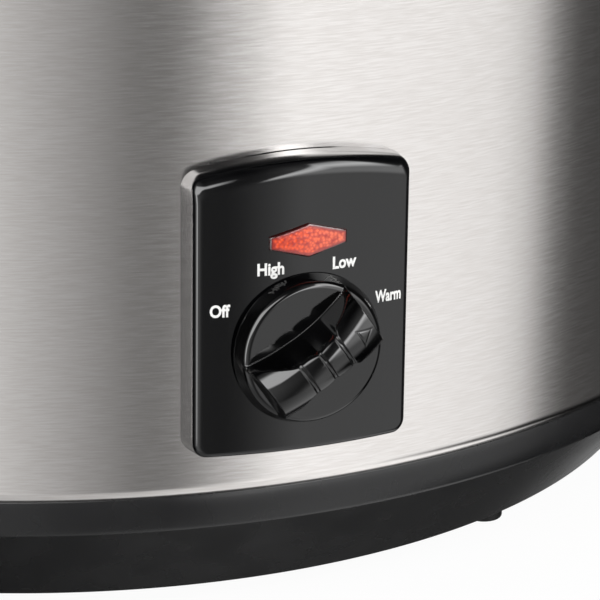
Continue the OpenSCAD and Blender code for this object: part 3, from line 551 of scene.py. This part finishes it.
def step(x, a, b):
    """A smooth step from 0 at a to 1 at b: t squared x (3 - 2 t), t being the share of the way."""
    t = np.clip((x - a) / (b - a), 0, 1)
    return t * t * (3 - 2 * t)


def face_out(x):
    """How far the face stands out from the middle of the front wall: a circle of PANEL_BOW."""
    return PANEL_D - PANEL_BOW + np.sqrt(PANEL_BOW ** 2 - x ** 2)


def wall_out(x):
    """How far the housing stands out there: sqrt(LONG_R squared - x squared) - LONG_R."""
    return np.sqrt(LONG_R ** 2 - x ** 2) - LONG_R


def on_front(x, out, z):
    """Points at x and height z that stand out from the middle of the front wall."""
    return np.stack([x, FRONT - out, np.broadcast_to(z, x.shape)], -1)


def build_panel():
    """Rings of the outline: from the housing up the drafted side, round a quarter circle that is
    larger at the head than at the sides, and over the bowed face towards its middle. The back edge
    of the head stands half a millimetre further off the wall around its middle."""
    gap, head_gap, gap_x, gap_half = 0.1, 0.5, -1, 15
    rings = []
    for share in (0, 0.03, 0.35, 0.7, 0.95):
        o, head = panel_outline(-PANEL_SPREAD * (1 - share), 0)
        x, z = o.T
        start = wall_out(x) + (gap + head_gap * head * step(gap_half - np.abs(x - gap_x), 0, 5))
        end = face_out(x) - PANEL_EDGE - (PANEL_TOP_EDGE - PANEL_EDGE) * head
        rings.append(on_front(x, start + share * (end - start), z))
    for t in np.radians(np.linspace(0, 90, 15)):
        o, head = panel_outline(PANEL_EDGE * (1 - cos(t)), PANEL_TOP_EDGE * (1 - cos(t)))
        x, z = o.T
        edge = PANEL_EDGE + (PANEL_TOP_EDGE - PANEL_EDGE) * head
        rings.append(on_front(x, face_out(x) - edge * (1 - sin(t)), z))
    edge = panel_outline(PANEL_EDGE, PANEL_TOP_EDGE)[0]
    middle = np.array([0, (PANEL_Z0 + PANEL_Z1) / 2])
    for t in (0.985, *np.linspace(0.93, 0, 24)):
        x, z = (middle + (edge - middle) * t).T
        rings.append(on_front(x, face_out(x), z))
    piece = surface("control_panel", np.stack(rings, 1), panel_plastic)
    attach(piece, "cooker")
    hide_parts("control_bezel")


def lens_outline(grow):
    """The pilot light's long hexagon, with ten points along each side."""
    w, h, e = LENS_W + grow, LENS_H + grow, LENS_END + grow / 2
    corners = np.array([(w, -e), (w, e), (0, h), (-w, e), (-w, -e), (0, -h)])
    t = (np.arange(10) / 10)[:, None]
    return np.vstack([corners[k] + t * (corners[(k + 1) % 6] - corners[k]) for k in range(6)])


def build_lens():
    """The lens: a plug with a rounded bevel and a shallow facet towards its long middle. Each
    vertex carries its distance in from the hexagon's nearest side, which the finish reads to paint
    shade along the edge."""
    facet = 0.3
    rings = []
    for grow, out in ((0, -1.6), (0, -0.05), (-0.04, 0.25), (-0.16, 0.5), (-0.36, 0.68),
                      (-0.62, 0.78), (-0.95, 0.8)):
        x, z = lens_outline(grow).T
        rings.append(on_front(x, face_out(x) + out, LENS_Z + z))
    for t in np.linspace(0.92, 0, 12):
        rings.append(on_front(x * t, face_out(x * t) + out + facet * (1 - t), LENS_Z + z * t))
    piece = surface("pilot_light_lens", np.stack(rings, 1), lens_red)
    co = points_of(piece.data) * 1000
    x, z = np.abs(co[:, 0]), np.abs(co[:, 2] - LENS_Z)
    slant = (LENS_H - z) * LENS_W - x * (LENS_H - LENS_END)
    inward = np.minimum(LENS_W - x, slant / np.hypot(LENS_W, LENS_H - LENS_END))
    carried = piece.data.attributes.new("from_edge_mm", "FLOAT", "POINT")
    carried.data.foreach_set("value", inward.astype(np.float32))
    split_sharp(piece, 50)
    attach(piece, "cooker")
    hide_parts("pilot_lens")


def build_word(word, x, z, width):
    """A printed setting: flat letters that stand out a twentieth of a millimetre, with a softly
    rounded outline, laid on the bowed face."""
    bold, bevel = 0.016, 0.02
    lift, half_thick = 0.015, 0.035
    curve = bpy.data.curves.new("word_" + word, "FONT")
    curve.body = word
    curve.size = 1.0
    curve.offset = bold
    curve.bevel_depth = bevel
    curve.bevel_resolution = 1
    curve.resolution_u = 6
    holder = bpy.data.objects.new("word_" + word, curve)
    mesh = bpy.data.meshes.new_from_object(holder)
    bpy.data.objects.remove(holder)
    work = bmesh.new()
    work.from_mesh(mesh)
    bmesh.ops.remove_doubles(work, verts=work.verts, dist=1e-5)
    bmesh.ops.recalc_face_normals(work, faces=work.faces)
    work.to_mesh(mesh)
    work.free()
    co = points_of(mesh)
    px = (co[:, 0] - (co[:, 0].min() + co[:, 0].max()) / 2) * width / np.ptp(co[:, 0]) + x
    pz = (co[:, 1] - CAPITAL / 2) * LETTER_H / CAPITAL + z
    out = face_out(px) + lift + half_thick * co[:, 2] / bevel
    laid = np.stack([px, CENTRE_Y + FRONT - out, KNOB_Z + pz], -1) / 1000
    mesh.vertices.foreach_set("co", laid.astype(np.float32).ravel())
    mesh.update()
    mesh.materials.clear()
    mesh.materials.append(white_ink)
    piece = placed("print_" + word.lower(), mesh)
    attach(piece, "cooker")


build_panel()
build_lens()
for word, x, z, width in WORDS:
    build_word(word, x, z, width)


# -------- control knob

def soft_min(a, b, k):
    """The smaller of two heights, with the corner between them rounded over a height k."""
    h = np.maximum(k - np.abs(a - b), 0) / k
    return np.minimum(a, b) - h * h * k / 4


def soft_max(a, b, k):
    """The larger of two heights, with the corner rounded in the same way."""
    return -soft_min(-a, -b, k)


def knob_height(u, v):
    """Height of the knob over its back edge, u along the grip and v across it. The skirt is a low
    drum with a rounded rim and a leaning wall. The grip is the least of a crown, two hollowed
    flanks and two steep ends, with soft corners between them. The crown is a circle across, lowered
    by u squared over its bow and by three grooves. A flank is a cone about an axis far out to the
    side: disc + (distance from the axis - radius) / lean. It leans less under the head and between
    grooves, so the crown is wider there while the foot of the flank stays one smooth curve."""
    disc, flat_r, rim, wall_lean = 4.6, 17.9, 2.0, radians(69)
    r = np.hypot(u, v)
    past = np.clip((r - flat_r) / rim, 0, sin(wall_lean))
    wall = np.maximum(r - flat_r - rim * sin(wall_lean), 0) * np.tan(wall_lean)
    skirt = disc - rim * (1 - np.sqrt(1 - past ** 2)) - wall

    crown_h, crown_r, bow = 16.3, 9.0, 90.0
    pitch, groove_half, groove_depth = 6.0, 0.52, 0.5
    crown = crown_h - crown_r + np.sqrt(np.maximum(crown_r ** 2 - v * v, 0.5)) - u * u / bow
    groove = sum(np.exp(-((u - g) / groove_half) ** 6) for g in (-pitch, 0.0, pitch))
    crown = crown - groove_depth * groove

    axis_v, cone_r, foot_lean, flank_h = 67.0, 60.0, 0.245, 11.7
    lobes = 0.45 * np.abs(np.sin(pi * u / pitch)) * (1 - step(np.abs(u), 5.6, 6.6))
    head = 1.5 * step(u, 6.4, 8.0) + 1.1 * step(-u, 6.4, 13.0)
    lean = foot_lean - (lobes + head) / flank_h
    flank = disc + (np.hypot(axis_v - np.abs(v), u) - cone_r) / lean

    half_length, end_slope = 17.6, 11.0
    end = (half_length - np.abs(u)) * end_slope
    top = soft_min(soft_min(crown, end, 1.6), flank, 1.1) - triangle_mark(u, v)
    return soft_max(skirt, top, 0.05)


def triangle_mark(u, v):
    """A small engraved triangle near the end of the crown that points at the setting: a fine line
    where the largest of the distances past its three sides is 0."""
    base, tip, half = 11.5, 15.0, 2.15
    depth, line = 0.16, 0.26
    side = np.hypot(tip - base, half)
    past = np.maximum(base - u, (np.abs(v) * (tip - base) + (u - tip) * half) / side)
    return depth * np.exp(-(past / line) ** 2)


def build_knob():
    """A polar grid over the knob, closer at its rim and closed below."""
    n = 540
    t = 2 * pi * np.arange(n) / n
    r = np.concatenate([np.linspace(0, 17, 120), np.linspace(17.12, KNOB_R, 44)])
    under_r, under_h = (KNOB_R, KNOB_R - 0.1, 5.6, 0), (0.05, 0, 0, 0)
    h = knob_height(np.outer(np.cos(t), r), np.outer(np.sin(t), r))
    h[:, -1] = np.minimum(h[:, -1], 0.4)
    h = np.hstack([h, np.broadcast_to(under_h, (n, 4))])
    r = np.concatenate([r, under_r])
    u, v = np.outer(np.cos(t), r), np.outer(np.sin(t), r)
    x = u * cos(POINTER) - v * sin(POINTER)
    z = u * sin(POINTER) + v * cos(POINTER)
    grid = on_front(x, PANEL_D + KNOB_GAP + h, KNOB_Z + z)
    piece = surface("control_knob_cap", grid, knob_plastic)
    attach(piece, "knob")
    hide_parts("control_knob")


build_knob()


# -------- crock

def build_crock():
    """The stoneware crock as one closed skin: outside wall, floor, inside wall and rolled rim, with
    two lugs that grow out of the rim. The wall leans in by 4 mm from its top to its foot."""
    foot, floor, wall, middle_in = 63.0, 70.0, 7, -95.0
    bend, inner_bend = 16, 14
    top_x, taper = -17.0, 4.0 / (CROCK_Z - foot)

    def outer_x(z):
        return top_x - taper * (CROCK_Z - z)

    inner_x = outer_x(floor + inner_bend) - wall
    outside = np.vstack([arc(outer_x(foot + bend) - bend, foot + bend, bend, -90, 0, 10),
                         [[outer_x(z), z] for z in (foot + bend + 8, 150, 195)],
                         [[top_x, CROCK_Z - 0.6], [-16.4, CROCK_Z], [-5, CROCK_Z]],
                         arc(-4.6, CROCK_Z + 2, 2, -80, 0, 5)[1:], [[-2.5, CROCK_Z + 4]],
                         arc(-4.9, CROCK_TOP - 2.4, 2.4, 0, 90, 7),
                         arc(-7.2, CROCK_TOP - 2.2, 2.2, 90, 175, 6), [[-9.7, LEDGE_Z + 0.8]]])
    inside = np.vstack([[[-10.3, LEDGE_Z + 0.2], [-11, LEDGE_Z], [-21.5, LEDGE_Z]],
                        arc(-22.2, LEDGE_Z - 1.8, 1.8, 90, 180, 5),
                        [[-24.3, 195], [-25.4, 150], [inner_x + 0.15, 92]],
                        arc(inner_x - inner_bend, floor + inner_bend, inner_bend, 0, -90, 10)])
    profile = np.vstack([[[middle_in, foot]], outside, inside, [[middle_in, floor]]])
    grid = swept_round_oval(profile)
    grid = np.concatenate([middle_of(grid, foot), grid, middle_of(grid, floor)], 1)
    piece = surface("crock_body", grid, glaze)
    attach(piece, "crock_pot")
    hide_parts("crock")
    for side, name in ((-1, "left"), (1, "right")):
        lug = build_lug(side, name)
        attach(lug, "crock_pot")


def build_lug(side, name):
    """A lug: sections run out from the rim to the edge of a round shelf, closed at its two points
    where the shelf meets the rim. Each section is a loop that is as long as the shelf reaches
    there: cx cos a + sqrt(LUG_R squared - (cx sin a) squared) - rim, for the shelf's centre cx."""
    rim = END_R - 4.0
    cx = END_R + LUG_OUT - LUG_R
    meet = (rim ** 2 - LUG_R ** 2 + cx ** 2) / (2 * cx)
    widest = np.degrees(np.arctan2(sqrt(rim ** 2 - meet ** 2), meet))
    a = np.radians(np.linspace(-widest, widest, 81))
    reach = cx * np.cos(a) + np.sqrt(np.maximum(LUG_R ** 2 - (cx * np.sin(a)) ** 2, 0)) - rim
    section = np.array([(0, 0.4), (0.7, 0.4), (0.86, 0.9), (0.96, 1.9), (1, 3.4), (1, 4.4),
                        (0.96, 5.8), (0.86, 6.8), (0.7, 7.4), (0, 8.0)])
    r = rim + np.outer(reach, section[:, 0])
    z = np.broadcast_to(CROCK_Z + section[:, 1], r.shape)
    x = side * (END_CX + r * np.cos(a)[:, None])
    y = r * np.sin(a)[:, None]
    return surface("crock_lug_" + name, np.stack([x, y, z], -1), glaze, ring=False, loop=True)


build_crock()


# -------- lid

def lid_arc(inward, radius):
    """Height of a circle about the lid's bow centre, at a distance in from the glass's edge: centre
    + sqrt((bow + radius) squared - (run - inward) squared), with bow = (run squared + rise squared)
    / (2 rise)."""
    bow = (LID_RUN ** 2 + LID_RISE ** 2) / (2 * LID_RISE)
    centre = LID_EDGE_Z + LID_RISE - bow
    return centre + np.sqrt((bow + radius) ** 2 - (LID_RUN - inward) ** 2)


def build_lid_glass():
    """The domed pane: two concentric circular arcs carried round the oval and closed over its
    middle, with a ground edge."""
    edge_x, ground = -LID_EDGE_IN, 0.02
    low, high = lid_arc(0, 0), lid_arc(0, GLASS)
    run = np.linspace(0, LID_RUN, 40)
    under = np.stack([edge_x - run[::-1], lid_arc(run[::-1], 0)], -1)
    over = np.stack([edge_x - run, lid_arc(run, GLASS)], -1)
    edge = [(edge_x - ground, low + 0.4), (edge_x, (low + high) / 2), (edge_x - ground, high - 0.4)]
    grid = swept_round_oval(np.vstack([under, edge, over]))
    below, above = middle_of(grid, LID_TOP - GLASS), middle_of(grid, LID_TOP)
    inner = [below + (grid[:, :1] - below) * t for t in (0, 0.33, 0.66)]
    outer = [above + (grid[:, -1:] - above) * t for t in (0.66, 0.33, 0)]
    piece = surface("lid_pane", np.concatenate(inner + [grid] + outer, 1), glass)
    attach(piece, "lid")
    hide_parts("lid_glass")


def build_lid_rim():
    """The steel band rolled round the glass's edge, with a lip over and under it."""
    edge, foot, lip = -LID_EDGE_IN, CROCK_Z + 6.3, 4.5
    loop = rounded([(edge + 2, foot, 0.25), (edge + 2, lid_arc(0, GLASS + 0.7) - 0.2, 0.9),
                    (edge - lip, lid_arc(lip, GLASS + 0.75), 0.2),
                    (edge - lip, lid_arc(lip, GLASS + 0.1), 0),
                    (edge + 0.2, lid_arc(0, GLASS + 0.1), 0), (edge + 0.2, LID_EDGE_Z - 0.1, 0),
                    (edge - lip, lid_arc(lip, -0.1), 0), (edge - lip, lid_arc(lip, -0.7), 0),
                    (edge + 0.8, LID_EDGE_Z - 1.2, 0), (edge + 1.4, foot, 0.2)], 4)
    piece = surface("lid_steel_rim", swept_round_oval(loop), rim_steel, loop=True)
    split_sharp(piece, 40)
    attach(piece, "lid")
    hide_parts("lid_rim")


def build_lid_grip():
    """The turned-looking grip: a flared foot, a waist and a broad cap with a low dome."""
    profile = np.vstack([[[0, 0], [12.9, 0]], arc(13.2, 0.6, 0.6, -90, 0, 4), [[13.6, 1.2]],
                         arc(20, 9.5, 10, 222, 148, 14), arc(18, 16, 3, -42, 50, 10),
                         arc(0, -34, 60, 71, 90, 12)])
    profile[:, 1] += LID_TOP + FERRULE
    piece = surface("lid_grip", revolved(profile), handle_plastic)
    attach(piece, "lid")
    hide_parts("lid_knob")


build_lid_glass()
build_lid_rim()
build_lid_grip()


# -------- handles

def build_handle(side, name):
    """A loop handle as one skin: a rounded rectangle carried along an arc about the end's centre, a
    bend into each post, and a line in to the wall. For s from 0 to 1 the bend is (1 - s) squared x
    start + 2 s (1 - s) x knee + s squared x end."""
    half, bend, corner, sunk = radians(28), 9.0, 4.5, 0.5
    mid = END_R + HANDLE_OUT - HANDLE_T / 2
    a = np.linspace(-half + bend / mid, half - bend / mid, 49)
    bar = np.stack([mid * np.cos(a), mid * np.sin(a)], -1)
    way = np.array([cos(half), sin(half)])
    s = np.linspace(0, 1, 15)[1:, None]
    turn = (1 - s) ** 2 * bar[-1] + 2 * s * (1 - s) * (way * mid) + s * s * (way * (mid - bend))
    post = way * np.linspace(mid - bend, END_R - sunk, 8)[1:, None]
    half_path = np.vstack([turn, post])
    path = np.vstack([half_path[::-1] * [1, -1], bar, half_path])
    d = np.gradient(path, axis=0)
    d /= np.hypot(d[:, 0], d[:, 1])[:, None]
    out = np.stack([d[:, 1], -d[:, 0]], -1)
    w, h = HANDLE_T / 2, HANDLE_H / 2
    section = rounded([(-w, -h, corner), (w, -h, corner), (w, h, corner), (-w, h, corner)], 7)
    xy = path[:, None] + out[:, None] * section[None, :, :1]
    z = np.broadcast_to(HANDLE_Z + section[None, :, 1:], xy.shape[:2] + (1,))
    grid = np.concatenate([xy, z], -1)
    ends = grid.mean(1, keepdims=True).repeat(grid.shape[1], 1)
    grid = np.concatenate([ends[:1], grid, ends[-1:]])
    grid[..., 0] += END_CX
    grid[..., 0] *= side
    piece = surface("loop_handle_" + name, grid, handle_plastic, ring=False, loop=True)
    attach(piece, "cooker")
    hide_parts("handle_" + name)


build_handle(-1, "left")
build_handle(1, "right")


# -------- floor and light

def combine(tree, operation, *values):
    """Joins numbers with one operation, from left to right."""
    total = values[0]
    for value in values[1:]:
        total = add(tree, "Math", {"operation": operation}, i0=total, i1=value).outputs[0]
    return total


def times(tree, *values):
    """The product."""
    return combine(tree, "MULTIPLY", *values)


def plus(tree, *values):
    """The sum."""
    return combine(tree, "ADD", *values)


def minus(tree, first, second):
    """The difference."""
    return combine(tree, "SUBTRACT", first, second)


def distance(tree, first, second):
    """How far two readings are apart."""
    gap = minus(tree, first, second)
    return add(tree, "Math", {"operation": "ABSOLUTE"}, i0=gap).outputs[0]


def rising(tree, value, start, end):
    """0 up to start, 1 from end on, and a straight line between."""
    return between(tree, value, 0, 1, start, end)


def falling(tree, value, start, end):
    """1 up to start, 0 from end on, and a straight line between."""
    return between(tree, value, 1, 0, start, end)


def ramp(tree, value, low, high, stops, peak):
    """A table of brightness: pairs of a reading and the brightness there, joined by lines."""
    node = add(tree, "ValToRGB", Fac=rising(tree, value, low, high))
    points = node.color_ramp.elements
    while len(points) < len(stops):
        points.new(0.5)
    for point, (reading, bright) in zip(points, stops):
        point.position = (reading - low) / (high - low)
    for point, (reading, bright) in zip(points, stops):
        point.color = (bright / peak, bright / peak, bright / peak, 1)
    return times(tree, node.outputs[0], peak)


def studio_walls(tree, turn, rise):
    """Pale walls, as a brightness by turn times one by rise, with a dim gap left of the front and a
    dark curtain at each side. They darken upwards to a dark ceiling. Below, they end sooner at the
    back, where the floor runs under the cooker."""
    around = ramp(tree, turn, -180, 180,
                  [(-180, 0.9), (-150, 0.45), (-130, 0.05), (-92, 0.04), (-78, 1.0), (-62, 1.45),
                   (-42, 1.35), (-30, 0.9), (-20, 0.62), (-11, 0.4), (-4, 0.25), (1, 0.24),
                   (5, 0.34), (9, 0.55), (14, 0.84), (18, 1.16), (21, 1.32), (46, 1.24), (58, 1.14),
                   (65, 0.86), (71, 0.26), (76, 0.1), (92, 0.06), (118, 0.08), (138, 0.9),
                   (155, 0.5), (180, 0.9)], 1.5)
    upward = ramp(tree, rise, -1, 1,
                  [(-1, 0.8), (-0.85, 0.9), (-0.6, 1.05), (-0.38, 1.0), (-0.16, 0.95), (0.1, 0.7),
                   (0.6, 0.6), (0.8, 0.3), (0.92, 0.1), (1, 0.08)], 1.2)
    from_front = distance(tree, turn, -12)
    under = times(tree, between(tree, from_front, 0, 0.9, 54, 72), falling(tree, rise, -0.6, -0.42))
    return times(tree, around, upward, minus(tree, 1.0, under), rising(tree, rise, -0.76, -0.66))


def studio_floor(tree, x, y, rise):
    """The floor close by: bright in front of the cooker, brighter towards the right, and dark where
    it runs back under the cooker."""
    bright = between(tree, x, 0.66, 1.35, 0, 0.45)
    in_front = between(tree, y, 1, 0.05, 0.02, 0.19)
    return times(tree, bright, in_front, falling(tree, rise, -0.76, -0.66))


def right_light(tree, turn, rise):
    """The strong light at the right. Its near edge slants away to the right as it climbs, at turn =
    9 + rise x (8 + 34 rise). It is brighter along a core that climbs with the slant, at rise =
    0.025 turn - 0.2, up to 0.62."""
    slant = times(tree, rise, plus(tree, times(tree, rise, 34.0), 8.0))
    past_edge = rising(tree, minus(tree, turn, slant), 7.5, 10.5)
    core = combine(tree, "MINIMUM", plus(tree, times(tree, turn, 0.025), -0.2), 0.62)
    glow = plus(tree, between(tree, rise, 0, 2.1, -0.2, 0.1),
                between(tree, distance(tree, rise, core), 7, 0, 0, 0.24))
    return times(tree, glow, past_edge, rising(tree, rise, -0.2, -0.05),
                 falling(tree, turn, 58, 66), falling(tree, rise, 0.78, 0.86))


def left_light(tree, turn, rise):
    """The strong light at the left, between the curtain and the dim gap. Its foot climbs towards
    the gap: the table holds 1 + rise there."""
    foot = ramp(tree, turn, -70, 0, [(-70, 0.55), (-56, 0.58), (-48, 0.98), (-33, 1.06),
                                     (-24, 1.27), (-14, 1.36), (0, 1.42)], 2)
    over_foot = minus(tree, plus(tree, rise, 1.0), foot)
    return times(tree, between(tree, over_foot, 0, 7, 0, 0.1), falling(tree, rise, 0.56, 0.66),
                 rising(tree, turn, -74, -62), falling(tree, turn, -12, -4))


def studio_light(tree, direction):
    """What gloss sees of the studio: walls, floor and two strong lights, added up. turn is the
    compass direction in degrees, 0 at the front and growing to the right. rise is the upward
    part."""
    parts = add(tree, "SeparateXYZ", Vector=direction)
    x, y, rise = (parts.outputs[axis] for axis in "XYZ")
    angle = combine(tree, "ARCTAN2", x, times(tree, y, -1.0))
    turn = add(tree, "Math", {"operation": "DEGREES"}, i0=angle).outputs[0]
    return plus(tree, studio_walls(tree, turn, rise), studio_floor(tree, x, y, rise),
                right_light(tree, turn, rise), left_light(tree, turn, rise))


def build_world():
    """Plain soft light from all round. Gloss sees the studio; the camera and glass see white."""
    world = bpy.data.worlds.new("studio")
    bpy.context.scene.world = world
    world.use_nodes = True
    tree = world.node_tree
    tree.nodes.clear()
    direction = add(tree, "TexCoord").outputs["Generated"]
    path = add(tree, "LightPath")
    gloss, plain, white = (
        add(tree, "Background", Color=(1, 1, 1, 1), Strength=strength).outputs[0]
        for strength in (studio_light(tree, direction), 0.35, 1.0))
    seen = add(tree, "MixShader", i0=path.outputs["Is Glossy Ray"], i1=plain, i2=gloss)
    for ray in ("Is Camera Ray", "Is Transmission Ray"):
        seen = add(tree, "MixShader", i0=path.outputs[ray], i1=seen.outputs[0], i2=white)
    tree.links.new(seen.outputs[0], add(tree, "OutputWorld").inputs["Surface"])


def build_floor():
    """A wide pale floor, nearly white to the camera apart from the cooker's soft shadow. Gloss does
    not see it, since the studio's light has a floor of its own."""
    material, tree = new_material("studio_paper")
    path = add(tree, "LightPath")
    paper = add(tree, "BsdfDiffuse", Color=srgb("#F0F0EF"))
    white = add(tree, "Emission", Color=(1, 1, 1, 1), Strength=1.0)
    seen = add(tree, "MixShader", i0=0.96, i1=paper.outputs[0], i2=white.outputs[0])
    clear = add(tree, "BsdfTransparent", Color=(1, 1, 1, 1))
    both = add(tree, "MixShader", i0=path.outputs["Is Glossy Ray"], i1=paper.outputs[0],
               i2=clear.outputs[0])
    for ray in ("Is Camera Ray", "Is Transmission Ray"):
        both = add(tree, "MixShader", i0=path.outputs[ray], i1=both.outputs[0], i2=seen.outputs[0])
    finish_material(tree, both)
    reach = np.linspace(-4000, 4000, 9)
    x, y = np.meshgrid(reach, reach, indexing="ij")
    grid = np.stack([x, y - CENTRE_Y, np.zeros_like(x)], -1)
    floor = surface("floor", grid, material, ring=False)


def soft_box(name, azimuth, elevation, power):
    """A square lamp aimed at the middle of the cooker, in metres and watts. Gloss sees the studio's
    lights in its place."""
    aim, distance_m, size = Vector((0, 0, 0.12)), 1.6, 0.9
    a, e = radians(azimuth), radians(elevation)
    back = Vector((sin(a) * cos(e), -cos(a) * cos(e), sin(e)))
    lamp = bpy.data.lights.new(name, "AREA")
    lamp.shape = "SQUARE"
    lamp.size = size
    lamp.energy = power
    holder = bpy.data.objects.new(name, lamp)
    holder.location = aim + back * distance_m
    holder.rotation_euler = back.to_track_quat("Z", "Y").to_euler()
    holder.visible_glossy = False
    bpy.context.scene.collection.objects.link(holder)


build_world()
build_floor()
soft_box("soft_box_right", 25, 38, 14)
soft_box("soft_box_left", -38, 38, 9.5)
soft_box("soft_box_back", 168, 42, 9)
